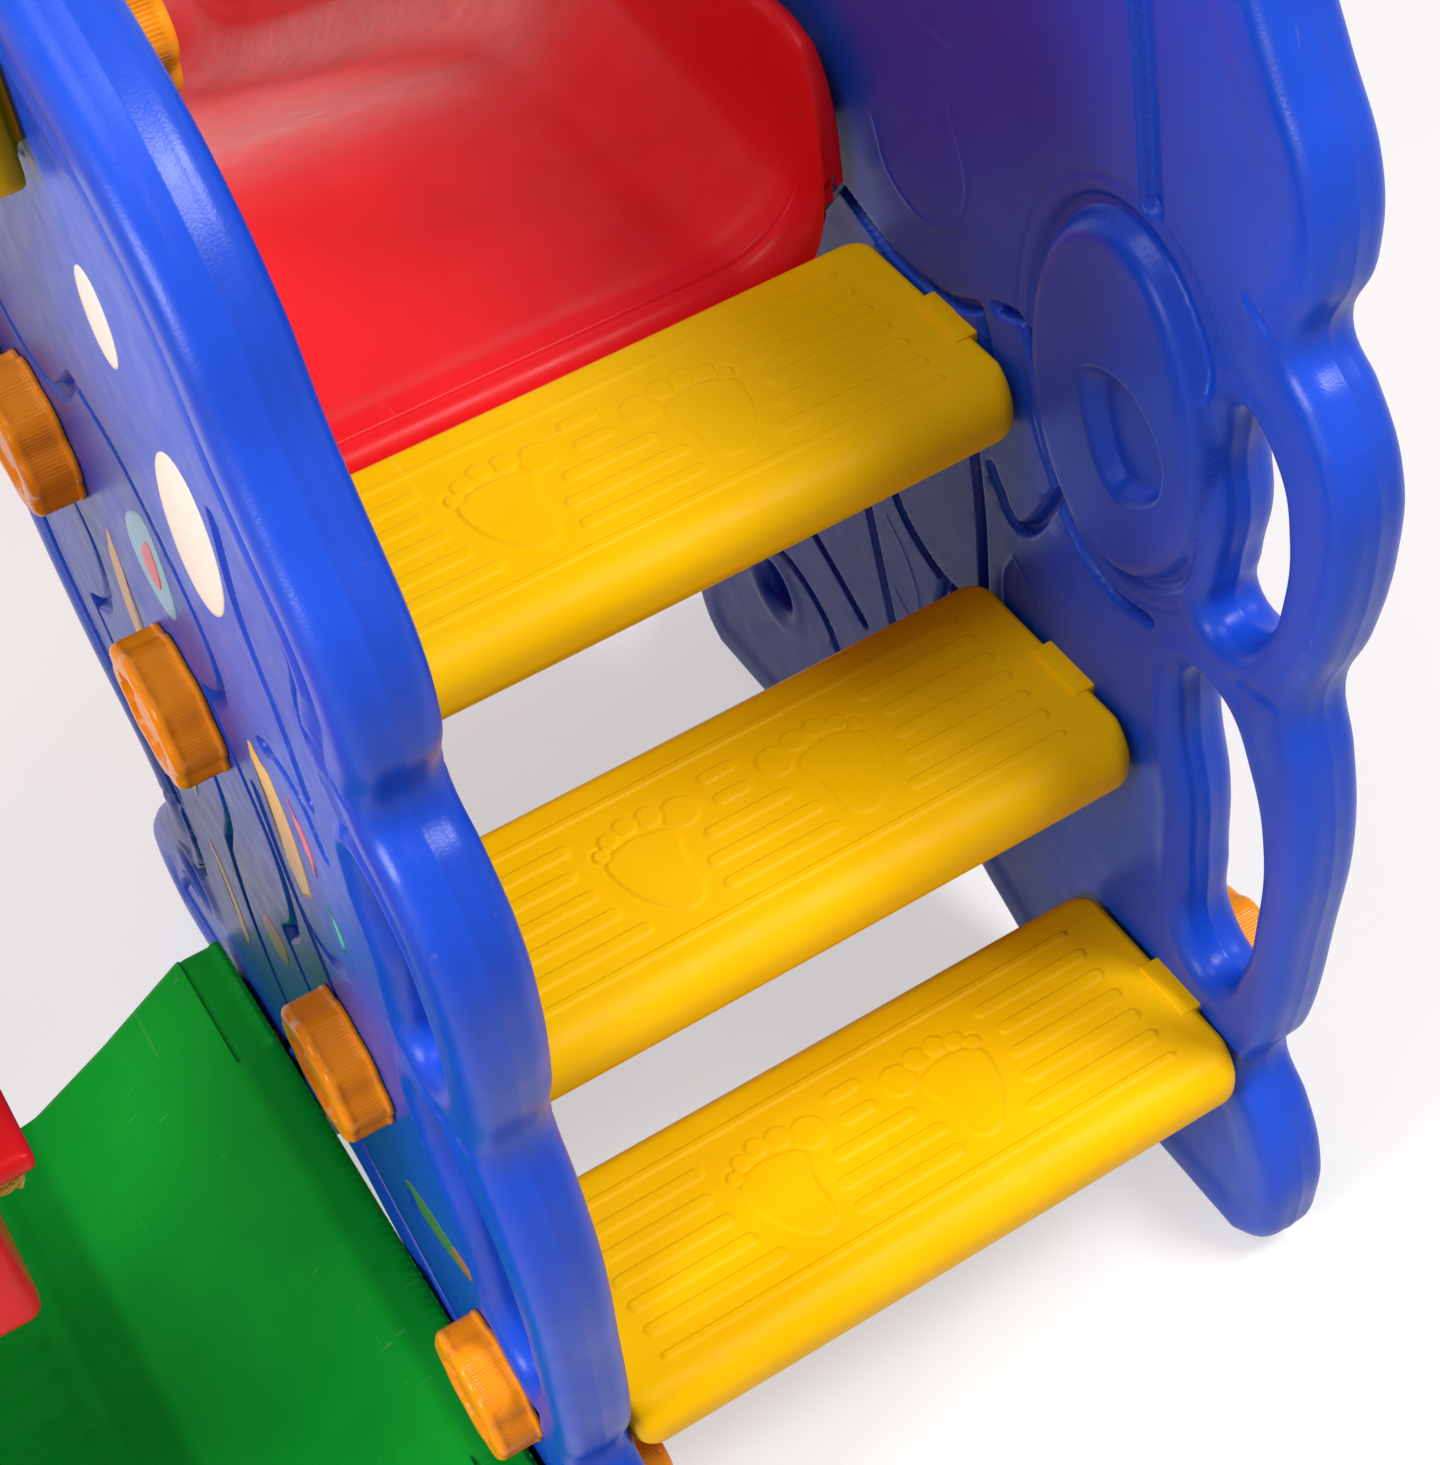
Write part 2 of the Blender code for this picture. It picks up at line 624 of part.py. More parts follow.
def slide(name):
    """An open channel surface, given its wall by a Solidify modifier, with bosses for the knobs."""
    made = bmesh.new()
    rows = []
    for y, floor, height in slide_stations():
        half = slide_section(height)
        full = [(-x, z) for x, z in reversed(half[1:])] + half
        rows.append([made.verts.new((x, y, floor + z)) for x, z in full])
    for row, following in zip(rows, rows[1:]):
        for index in range(len(row) - 1):
            made.faces.new((row[index], row[index + 1], following[index + 1], following[index]))
    mesh = bpy.data.meshes.new(name)
    made.to_mesh(mesh)
    made.free()
    channel = mesh_object(name, mesh, parts, RED)
    shell = channel.modifiers.new("wall", "SOLIDIFY")
    shell.thickness = SLIDE_WALL
    shell.offset = -1.0
    shell.use_even_offset = True
    inner = SLIDE_FLAT_HALF + SLIDE_CORNER
    for side in (-1, 1):
        end = "right" if side > 0 else "left"
        for number, y in enumerate(SLIDE_KNOBS_Y):
            z = DECK_Z + SLIDE_KNOB_RISE
            label = f"{end}_slide_{'rear' if number == 0 else 'front'}_knob"
            join(channel, rod(
                label + "_boss", (side * (inner + SLIDE_WALL * 0.6), y, z),
                (side * (PANEL_INNER - GAP), y, z), BOSS_RADIUS, cutters, sides=20,
            ))
            cut(channel, rod(
                label + "_boss_bore", (side * (inner + SLIDE_WALL * 0.6), y, z),
                (side * (PANEL_INNER + OVERRUN), y, z),
                STUD_RADIUS + GAP, cutters, sides=12,
            ))
            knob(label, (side * KNOB_BASE, y, z), -side, KNOB_BASE - inner - STUD_SHORT_OF_CHANNEL)
    return channel


slide("slide")


# Swing bay


def base_plate(name):
    """A tray on the floor whose two ends turn up into ledges against the side panel and the support."""
    near = PANEL_OUTER + GAP
    far = -SUPPORT_INNER - GAP
    ledge = BASE_EDGE_HEIGHT
    half = [
        (near, BASE_LIFT), (near, ledge), (near + BASE_LEDGE, ledge),
        (near + BASE_LEDGE + BASE_SLOPE * BASE_HALFWAY, ledge * BASE_HALFWAY),
        (near + BASE_LEDGE + BASE_SLOPE, BASE_THICK),
    ]
    section = [(-x, z) for x, z in half] + [(-(far - (x - near)), z) for x, z in reversed(half)]
    rear = FIXINGS_Y[0] - BASE_MARGIN_REAR
    front = FIXINGS_Y[1] + BASE_MARGIN_FRONT
    made = bmesh.new()
    rows = []
    for y in (rear, front):
        rows.append([made.verts.new((x, y, z)) for x, z in section])
    for index in range(len(section) - 1):
        made.faces.new((rows[0][index], rows[1][index], rows[1][index + 1], rows[0][index + 1]))
    bmesh.ops.recalc_face_normals(made, faces=made.faces)
    if sum(face.normal.z for face in made.faces) < 0:
        bmesh.ops.reverse_faces(made, faces=made.faces)
    mesh = bpy.data.meshes.new(name)
    made.to_mesh(mesh)
    made.free()
    tray = mesh_object(name, mesh, parts, GREEN)
    shell = tray.modifiers.new("wall", "SOLIDIFY")
    shell.thickness = BASE_THICK
    shell.offset = -1.0
    shell.use_even_offset = True
    for y in FIXINGS_Y:
        for face, way in ((-PANEL_OUTER, -1), (SUPPORT_INNER, 1)):
            cut(tray, rod(
                f"{name}_bore", (face - way * OVERRUN, y, BASE_FIXING_HEIGHT),
                (face + way * OVERRUN, y, BASE_FIXING_HEIGHT), STUD_RADIUS + GAP, cutters, sides=12,
            ))
    return tray


def nut(name, start, end, radius, bore, finish):
    block = rod(name, start, end, radius, parts, finish, sides=6)
    along = (Vector(end) - Vector(start)).normalized() * OVERRUN
    cut(block, rod(name + "_bore", Vector(start) - along, Vector(end) + along, bore, cutters, sides=12))
    return block


def mirrored_loop(half):
    """A closed loop about BAY_Y from the points on one side of it, read upwards."""
    right = [(BAY_Y + d, z, sharp) for d, z, sharp in half]
    left = [(BAY_Y - d, z, sharp) for d, z, sharp in reversed(half)]
    return right + left


def outer_support(name):
    arch = [(BAY_Y - d, z, sharp) for d, z, sharp in SUPPORT_ARCH]
    arch += [(BAY_Y + d, z, sharp) for d, z, sharp in reversed(SUPPORT_ARCH)]
    edge = mirrored_loop(SUPPORT_EDGE)
    crown = [(BAY_Y, PANEL_TOP + 0.008, False)]
    outline = edge[: len(SUPPORT_EDGE)] + crown + edge[len(SUPPORT_EDGE):] + arch
    middle = Matrix.Translation((SUPPORT_INNER - SUPPORT_THICK / 2, 0, 0)) @ ACROSS
    frame = plate(
        name, [outline, mirrored_loop(SUPPORT_OPENING)], SUPPORT_THICK, SUPPORT_ROUND,
        middle, parts, BLUE,
    )
    cut(frame, *bay_face_cutters(name, SUPPORT_OUTER, 1, SUPPORT_THICK))
    return frame


def hanger_x(side):
    return BAY_X + side * HANGER_SPREAD / 2


def beam(name):
    """A straight underside for the hangers, an arched top, and a tenon at each end."""
    near = -PANEL_OUTER - GAP
    far = SUPPORT_INNER + GAP
    half = (near - far) / 2
    top = BEAM_Z + BEAM_HEIGHT / 2
    outline = [(far, BEAM_BOTTOM), (near, BEAM_BOTTOM)]
    for step_number in range(9):
        share = 1 - step_number / 4
        rise = BEAM_ARCH * (1 - share * share)
        outline.append((BAY_X + share * half, top + rise))
    middle = Matrix.Translation((0, BAY_Y, 0)) @ ALONG
    bar = plate(name, [outline], BEAM_DEPTH, BEAM_ROUND, middle, parts, YELLOW, rings=2)
    for label, end, way in (("inner", near, 1), ("outer", far, -1)):
        ends = sorted((end - way * OVERRUN, end + way * (TENON_DEPTH + GAP)))
        join(bar, box(
            f"{name}_{label}_tenon", (ends[0], BAY_Y - TENON_Y / 2, BEAM_Z - TENON_Z / 2),
            (ends[1], BAY_Y + TENON_Y / 2, BEAM_Z + TENON_Z / 2), cutters,
        ))
        cut(bar, rod(
            f"{name}_{label}_bore", (end + way * LONG_OVERRUN, BAY_Y, BEAM_Z),
            (end - way * (STUD_ENGAGED + BORE_SPARE), BAY_Y, BEAM_Z), STUD_RADIUS + GAP, cutters, sides=12,
        ))
    for side in (-1, 1):
        x = hanger_x(side)
        cut(bar, rod(
            f"{name}_hanger_bore", (x, BAY_Y, BEAM_BOTTOM - OVERRUN), (x, BAY_Y, top + ABOVE_BEAM),
            BOLT_RADIUS + GAP, cutters, sides=12,
        ))
        cut(bar, rod(
            f"{name}_nut_recess", (x, BAY_Y, top), (x, BAY_Y, top + ABOVE_BEAM),
            BOLT_NUT_RADIUS + NUT_RECESS_MARGIN, cutters, sides=20,
        ))
    return bar


base_plate("swing_base_plate")
outer_support("outer_support")
beam("swing_beam")
for number, y in enumerate(FIXINGS_Y):
    spot = "rear" if number == 0 else "front"
    for label, face, inward in (
        ("inner", -PANEL_INNER, -1), ("outer", SUPPORT_OUTER, 1),
    ):
        thickness = PANEL_THICK if label == "inner" else SUPPORT_THICK
        plate_face = face + inward * (thickness + GAP + BASE_THICK)
        nut_start = plate_face + inward * GAP
        nut_end = nut_start + inward * NUT_THICK
        base = face + inward * (KNOB_SEAT_DEPTH - GAP)
        knob(
            f"base_{label}_{spot}_knob", (base, y, BASE_FIXING_HEIGHT), inward,
            abs(nut_end - base) + STUD_PAST_NUT,
        )
        nut(
            f"base_{label}_{spot}_nut", (nut_start, y, BASE_FIXING_HEIGHT),
            (nut_end, y, BASE_FIXING_HEIGHT), NUT_RADIUS, STUD_RADIUS + GAP, STEEL,
        )
for label, face, inward, thickness in (
    ("inner", -PANEL_INNER, -1, PANEL_THICK), ("outer", SUPPORT_OUTER, 1, SUPPORT_THICK),
):
    base = face + inward * (KNOB_SEAT_DEPTH - GAP)
    knob(
        f"beam_{label}_knob", (base, BAY_Y, BEAM_Z), inward,
        thickness - KNOB_SEAT_DEPTH + STUD_ENGAGED,
    )


# Swing: everything below hangs from an empty on the hinge axis

pivot = bpy.data.objects.new("swing_pivot", None)
parts.objects.link(pivot)
pivot.location = (BAY_X, BAY_Y, PIVOT_Z)
bpy.context.view_layer.update()


def hang(obj):
    """Carries an object that was modelled about the pivot's own origin."""
    obj.parent = pivot
    return obj


def eye_bolt(name, side):
    x = hanger_x(side)
    count = 12
    ring = []
    for index in range(count):
        angle = pi / 2 + 2 * pi * index / count
        ring.append((x, BAY_Y + EYE_RADIUS * cos(angle), EYE_Z + EYE_RADIUS * sin(angle)))
    bolt = tube(name, ring, EYE_WIRE, parts, STEEL, closed=True, rings=1)
    top = BEAM_Z + BEAM_HEIGHT / 2 + BOLT_NUT_THICK + BOLT_PAST_NUT
    join(bolt, rod(
        name + "_shank", (x, BAY_Y, EYE_Z + EYE_RADIUS - EYE_WIRE * 0.4), (x, BAY_Y, top),
        BOLT_RADIUS, cutters, sides=12,
    ))
    join(bolt, rod(
        name + "_collar", (x, BAY_Y, BEAM_BOTTOM - GAP - COLLAR_THICK), (x, BAY_Y, BEAM_BOTTOM - GAP),
        BOLT_RADIUS + COLLAR_RIM, cutters, sides=16,
    ))
    return bolt


def shackle(name, side):
    x = side * HANGER_SPREAD / 2
    wire_end = -(SHACKLE_BOSS_RADIUS + PIN_RADIUS) / 2
    route = [(x - SHACKLE_HALF, 0, wire_end)]
    for index in range(9):
        angle = pi + index * pi / 8
        route.append((x + SHACKLE_HALF * cos(angle), 0, -SHACKLE_DROP + SHACKLE_HALF * sin(angle)))
    route.append((x + SHACKLE_HALF, 0, wire_end))
    bow = tube(name, route, SHACKLE_WIRE, parts, STEEL, rings=1)
    for end in (-1, 1):
        middle = x + end * SHACKLE_HALF
        join(bow, rod(
            f"{name}_boss", (middle - SHACKLE_BOSS_LENGTH / 2, 0, 0),
            (middle + SHACKLE_BOSS_LENGTH / 2, 0, 0), SHACKLE_BOSS_RADIUS, cutters, sides=14,
        ))
    cut(bow, rod(
        f"{name}_bore", (x - LONG_OVERRUN, 0, 0), (x + LONG_OVERRUN, 0, 0), PIN_RADIUS + GAP,
        cutters, sides=12,
    ))
    return bow


def shackle_pin(name, side):
    x = side * HANGER_SPREAD / 2
    reach = SHACKLE_HALF + SHACKLE_BOSS_LENGTH / 2 + GAP
    pin = rod(
        name, (x - reach - PIN_INTO_HEAD, 0, 0), (x + reach + PIN_INTO_HEAD, 0, 0), PIN_RADIUS,
        parts, STEEL, sides=12,
    )
    for end in (-1, 1):
        join(pin, rod(
            f"{name}_head", (x + end * reach, 0, 0), (x + end * (reach + PIN_HEAD_THICK), 0, 0),
            PIN_HEAD_RADIUS, cutters, sides=12,
        ))
    return pin


def spreader(name, side):
    """A closed triangle of wire that hangs in the shackle and takes a rope at each lower corner."""
    x = side * HANGER_SPREAD / 2
    crown = SHACKLE_WIRE + SPREADER_WIRE + GAP
    route = []
    for index in range(5):
        angle = pi * 0.12 + index * pi * 0.76 / 4
        route.append((x, crown * cos(angle), SADDLE_Z + crown * sin(angle)))
    corner = SPREADER_CORNER
    for index in range(4):
        angle = pi * 0.85 + index * pi * 0.65 / 3
        route.append((
            x, -SPREADER_HALF + corner + corner * cos(angle), SPREADER_BASE + corner + corner * sin(angle),
        ))
    for index in range(4):
        angle = -pi * 0.50 + index * pi * 0.65 / 3
        route.append((
            x, SPREADER_HALF - corner + corner * cos(angle), SPREADER_BASE + corner + corner * sin(angle),
        ))
    return tube(name, route, SPREADER_WIRE, parts, RED, closed=True)


def rope_ends(side, front):
    """Where a rope's line meets the spreader's bar and the middle of the seat's arm flange."""
    x = side * HANGER_SPREAD / 2
    top_y = (SPREADER_HALF - ROPE_FROM_CORNER) * (1 if front else -1)
    top = Vector((x, top_y, SPREADER_BASE - SPREADER_WIRE - GAP))
    low_y = SEAT_FORWARD + (ROPE_FRONT_Y if front else ROPE_REAR_Y)
    low = Vector((x, low_y, SEAT_Z + ARM_TOP - ARM_FLANGE_THICK / 2))
    return top, low


def rope(name, side, front):
    """A rope knotted under the spreader's bar and again under the seat's arm."""
    top, low = rope_ends(side, front)
    down = (low - top).normalized()
    top_knot = [(0.0, 0.55), (0.004, 1.0), (0.012, 1.0), (KNOT_LENGTH, 0.0)]
    tilt = hypot(down.x, down.y) / abs(down.z)
    start = ROPE_RADIUS * tilt / 2
    below = (low - top).length + ARM_FLANGE_THICK / 2 / abs(down.z) + KNOT_RADIUS * tilt + 2 * GAP
    points = []
    radii = []
    for along, share in top_knot:
        points.append(top + down * (start + along))
        radii.append(ROPE_RADIUS + (KNOT_RADIUS - ROPE_RADIUS) * share)
    points.append(top + down * (below - 0.0015))
    radii.append(ROPE_RADIUS)
    for along, share in ((0.0, 0.75), (0.004, 1.0), (0.012, 1.0), (KNOT_LENGTH, 0.40)):
        points.append(top + down * (below + along))
        radii.append(ROPE_RADIUS + (KNOT_RADIUS - ROPE_RADIUS) * share)
    return tube(name, points, ROPE_RADIUS, parts, ROPE, radii=radii)


def bucket_seat(name):
    outer = [(y, SEAT_Z + z) for y, z in SEAT_PROFILE]
    middle = Matrix.Translation((0, SEAT_FORWARD, 0)) @ ACROSS
    bucket = plate(name, [outer], 2 * SEAT_HALF, SEAT_ROUND, middle, parts, RED, rings=2)
    rear = SEAT_PROFILE[0][0] + SEAT_WALL
    inner = [
        (rear + 0.003, SEAT_Z + 0.300), (rear + 0.003, SEAT_Z + 0.245), (rear + 0.014, SEAT_Z + 0.040),
        (rear + 0.034, SEAT_Z + SEAT_WALL + 0.001), (0.106, SEAT_Z + SEAT_WALL + 0.001),
        (0.127, SEAT_Z + 0.042), (0.127, SEAT_Z + 0.300),
    ]
    cut(bucket, plate(
        name + "_hollow", [inner], 2 * (SEAT_HALF - SEAT_WALL), SEAT_ROUND * 0.8, middle, cutters,
    ))
    cut(bucket, box(
        name + "_front_cut",
        (-LEG_OPENING_HALF, SEAT_FORWARD + SEAT_FRONT_CUT_Y[0], SEAT_Z + SEAT_FRONT_HEIGHT),
        (LEG_OPENING_HALF, SEAT_FORWARD + SEAT_FRONT_CUT_Y[1], SEAT_Z + SEAT_FRONT_CUT_TOP), cutters,
    ))
    for side in (-1, 1):
        ends = sorted((side * (SEAT_HALF - SEAT_WALL / 2), side * (SEAT_HALF + ARM_FLANGE)))
        join(bucket, box(
            f"{name}_arm",
            (ends[0], SEAT_FORWARD + ROPE_REAR_Y - ARM_MARGIN, SEAT_Z + ARM_TOP - ARM_FLANGE_THICK),
            (ends[1], SEAT_FORWARD + ROPE_FRONT_Y + ARM_MARGIN, SEAT_Z + ARM_TOP),
            cutters, rounding=0.0025,
        ))
        for front in (False, True):
            top, low = rope_ends(side, front)
            down = (low - top).normalized()
            cut(bucket, rod(
                f"{name}_rope_bore", low - down * LONG_OVERRUN, low + down * LONG_OVERRUN,
                ROPE_RADIUS + ROPE_BORE_ROOM, cutters, sides=12,
            ))
    return bucket


def guard_bar(name):
    """A bar across the front ropes with a stem between the legs; it slides up the ropes."""
    top, low = rope_ends(1, True)
    down = (low - top).normalized()
    rest = SEAT_Z + ARM_TOP + GAP
    slope = down.y / down.z
    centre_y = low.y + slope * (rest + GUARD_BAR_HEIGHT / 2 - low.z)
    half = HANGER_SPREAD / 2 + GUARD_OVERHANG
    bar = box(
        name, (-half, centre_y - GUARD_BAR_HALF_DEPTH, rest),
        (half, centre_y + GUARD_BAR_HALF_DEPTH, rest + GUARD_BAR_HEIGHT), parts, YELLOW,
        rounding=GUARD_ROUND,
    )
    foot = SEAT_Z + SEAT_FRONT_HEIGHT + GAP
    join(bar, box(
        name + "_stem", (-GUARD_STEM_HALF, centre_y + GUARD_STEM_BACK, foot),
        (GUARD_STEM_HALF, centre_y + GUARD_BAR_HALF_DEPTH + GUARD_STEM_PROUD, rest + GUARD_BAR_HEIGHT / 2),
        cutters, rounding=GUARD_STEM_ROUND,
    ))
    for side in (-1, 1):
        top, low = rope_ends(side, True)
        cut(bar, rod(
            f"{name}_rope_bore", low - down * GUARD_BORE_ABOVE, low + down * GUARD_BORE_BELOW,
            ROPE_RADIUS + GUARD_BORE_ROOM, cutters, sides=12,
        ))
    return bar


for side, end in ((-1, "outer"), (1, "inner")):
    x = hanger_x(side)
    seat_top = BEAM_Z + BEAM_HEIGHT / 2 + GAP
    eye_bolt(f"{end}_eye_bolt", side)
    nut(
        f"{end}_eye_bolt_nut", (x, BAY_Y, seat_top), (x, BAY_Y, seat_top + BOLT_NUT_THICK),
        BOLT_NUT_RADIUS, BOLT_RADIUS + GAP, STEEL,
    )
    hang(shackle(f"{end}_shackle", side))
    hang(shackle_pin(f"{end}_shackle_pin", side))
    hang(spreader(f"{end}_rope_spreader", side))
    hang(rope(f"{end}_front_rope", side, True))
    hang(rope(f"{end}_rear_rope", side, False))
hang(bucket_seat("bucket_seat"))
hang(guard_bar("guard_bar"))


# Cutters that shape a hanging piece move with it, then the middle of the footprint goes to the origin


def carry_cutters():
    for obj in list(parts.objects):
        for modifier in obj.modifiers:
            if modifier.type == "BOOLEAN" and obj.parent is pivot:
                modifier.object.parent = pivot


def centre_on_footprint():
    bpy.context.view_layer.update()
    graph = bpy.context.evaluated_depsgraph_get()
    corners = []
    for obj in parts.objects:
        if obj.type == "MESH":
            evaluated = obj.evaluated_get(graph)
            corners += [evaluated.matrix_world @ Vector(corner) for corner in evaluated.bound_box]
    low = Vector(map(min, zip(*corners)))
    high = Vector(map(max, zip(*corners)))
    carrier = bpy.data.objects.new("set_origin", None)
    parts.objects.link(carrier)
    for obj in list(parts.objects) + list(cutters.objects):
        if obj is not carrier and obj.parent is None:
            obj.parent = carrier
    carrier.location = (-(low.x + high.x) / 2, -(low.y + high.y) / 2, -low.z)


carry_cutters()
centre_on_footprint()
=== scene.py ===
"""Looks of the climber, slide and swing set: moulded plastic, steel hardware and braided ropes.

Shapes are written in metres about the middle of the steps, as the CAD's are, and carried to the frame
by ORIGIN. Hanging pieces are written about the swing's hinge and carried by PIVOT.
"""

from math import cos, hypot, pi, radians, sin, sqrt

import bmesh
import bpy
import json
import numpy as np
from mathutils import Matrix, Vector, geometry, kdtree


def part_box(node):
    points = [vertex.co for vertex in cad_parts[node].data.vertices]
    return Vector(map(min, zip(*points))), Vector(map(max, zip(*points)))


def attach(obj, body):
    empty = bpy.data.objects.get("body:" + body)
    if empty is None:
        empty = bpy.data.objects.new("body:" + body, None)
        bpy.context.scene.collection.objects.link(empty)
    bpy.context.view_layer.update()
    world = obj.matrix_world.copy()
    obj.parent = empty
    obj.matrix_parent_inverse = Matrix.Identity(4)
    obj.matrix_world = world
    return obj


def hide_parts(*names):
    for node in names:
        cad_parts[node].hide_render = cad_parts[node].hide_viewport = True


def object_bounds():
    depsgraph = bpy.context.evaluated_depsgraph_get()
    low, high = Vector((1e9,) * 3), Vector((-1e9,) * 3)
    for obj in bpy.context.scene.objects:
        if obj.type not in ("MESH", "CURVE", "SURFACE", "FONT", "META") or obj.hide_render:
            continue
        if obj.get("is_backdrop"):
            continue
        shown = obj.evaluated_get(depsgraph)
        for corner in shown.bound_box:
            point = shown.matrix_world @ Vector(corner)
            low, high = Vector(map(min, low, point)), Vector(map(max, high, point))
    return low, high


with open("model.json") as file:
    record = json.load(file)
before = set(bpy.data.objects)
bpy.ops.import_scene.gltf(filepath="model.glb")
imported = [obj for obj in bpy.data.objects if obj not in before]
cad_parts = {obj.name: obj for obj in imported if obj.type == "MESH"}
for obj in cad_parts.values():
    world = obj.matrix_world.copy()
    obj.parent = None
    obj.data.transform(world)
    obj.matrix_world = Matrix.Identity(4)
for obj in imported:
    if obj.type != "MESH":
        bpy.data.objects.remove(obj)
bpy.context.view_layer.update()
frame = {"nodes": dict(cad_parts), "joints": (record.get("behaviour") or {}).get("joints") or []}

# Sizes of the CAD that the looks follow
STEP_RUN = 0.0955
STEP_RISE = 0.160
FIRST_TREAD = 0.170
STEP_DEPTH = 0.1385
STEP_BACK = 0.021
STEP_THICK = 0.040
STEP_HALF = 0.1787
NOSE_ROUND = 0.018
BACK_ROUND = 0.008
END_ROUND = 0.004
CORNER_ROUND = 0.013
TAB_BACK = -0.040
TAB_LENGTH = 0.037
TAB_ABOVE = 0.0015
TAB_BELOW = 0.009
TAB_REACH = 0.0028
TAB_OVERLAP = 0.010
TAB_ROUND = 0.0012
PANEL_INNER = 0.179
PANEL_THICK = 0.038
PANEL_OUTER = PANEL_INNER + PANEL_THICK
KNOB_SUNK = 0.0027
KNOB_BASE = PANEL_OUTER - KNOB_SUNK
KNOB_RADIUS = 0.036
KNOB_LENGTH = 0.024
BAY_WIDTH = 0.620
BAY_Y = 0.105
SUPPORT_INNER = -PANEL_OUTER - BAY_WIDTH
SUPPORT_THICK = 0.038
SUPPORT_OUTER = SUPPORT_INNER - SUPPORT_THICK

STEP_LOW, STEP_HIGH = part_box("middle_step")
ORIGIN = Vector(((STEP_LOW.x + STEP_HIGH.x) / 2, STEP_HIGH.y - STEP_RUN - STEP_BACK, 0.0))
PIVOT = Vector(next(j for j in frame["joints"] if j["name"] == "swing_hinge")["pos_m"])

# Panel outlines at the middle plane as (y, z), and True where the outline has a corner
REAR_EDGE = (
    (-0.120, 0.000, True), (-0.140, 0.020), (-0.147, 0.050), (-0.145, 0.088), (-0.130, 0.122),
    (-0.111, 0.147), (-0.124, 0.190), (-0.133, 0.273), (-0.137, 0.349), (-0.129, 0.400),
    (-0.119, 0.433), (-0.131, 0.478), (-0.138, 0.528), (-0.134, 0.572), (-0.114, 0.605),
    (-0.098, 0.621), (-0.107, 0.659), (-0.103, 0.700), (-0.080, 0.739), (-0.066, 0.763),
    (-0.051, 0.801), (-0.020, 0.838), (0.030, 0.868), (0.110, 0.895),
)
FRONT_EDGE = (
    (0.190, 0.888), (0.250, 0.868), (0.282, 0.842), (0.325, 0.838), (0.372, 0.800), (0.384, 0.748),
    (0.372, 0.708), (0.410, 0.675), (0.432, 0.615), (0.422, 0.545), (0.392, 0.492), (0.424, 0.440),
    (0.428, 0.370), (0.400, 0.300), (0.344, 0.216), (0.380, 0.160), (0.424, 0.110), (0.455, 0.058),
    (0.449, 0.020), (0.430, 0.000, True),
)
ARCH_EDGE = (
    (0.225, 0.000, True), (0.212, 0.040), (0.192, 0.070), (0.152, 0.090), (0.112, 0.070),
    (0.060, 0.042), (0.000, 0.026), (-0.040, 0.000, True),
)
UPPER_GRIP = (
    (-0.070, 0.574), (-0.090, 0.562), (-0.101, 0.530), (-0.101, 0.490), (-0.094, 0.462),
    (-0.078, 0.442), (-0.060, 0.443), (-0.059, 0.466), (-0.063, 0.500), (-0.058, 0.542),
)
LOWER_GRIP = (
    (-0.046, 0.398), (-0.070, 0.402), (-0.092, 0.374), (-0.105, 0.330), (-0.106, 0.275),
    (-0.100, 0.228), (-0.084, 0.196), (-0.062, 0.206), (-0.055, 0.250), (-0.052, 0.300),
    (-0.040, 0.355),
)
FOOT_HOLE = (
    (0.342, 0.113), (0.358, 0.128), (0.343, 0.145), (0.328, 0.130),
)
PAD_CENTRE = (0.004, 0.527)
PAD_HALVES = (0.060, 0.095)

# Half outline of the outer support as (distance from its middle, z), and True at a corner
SUPPORT_EDGE = (
    (0.225, 0.000, True), (0.239, 0.016), (0.236, 0.080), (0.205, 0.250), (0.160, 0.450),
    (0.124, 0.640), (0.104, 0.770), (0.098, 0.840), (0.068, 0.888),
)
SUPPORT_ARCH = ((0.112, 0.000, True), (0.106, 0.030), (0.075, 0.098))
SUPPORT_OPENING = (
    (0.085, 0.222), (0.120, 0.250), (0.108, 0.340), (0.082, 0.470), (0.056, 0.610), (0.034, 0.668),
)


# Materials


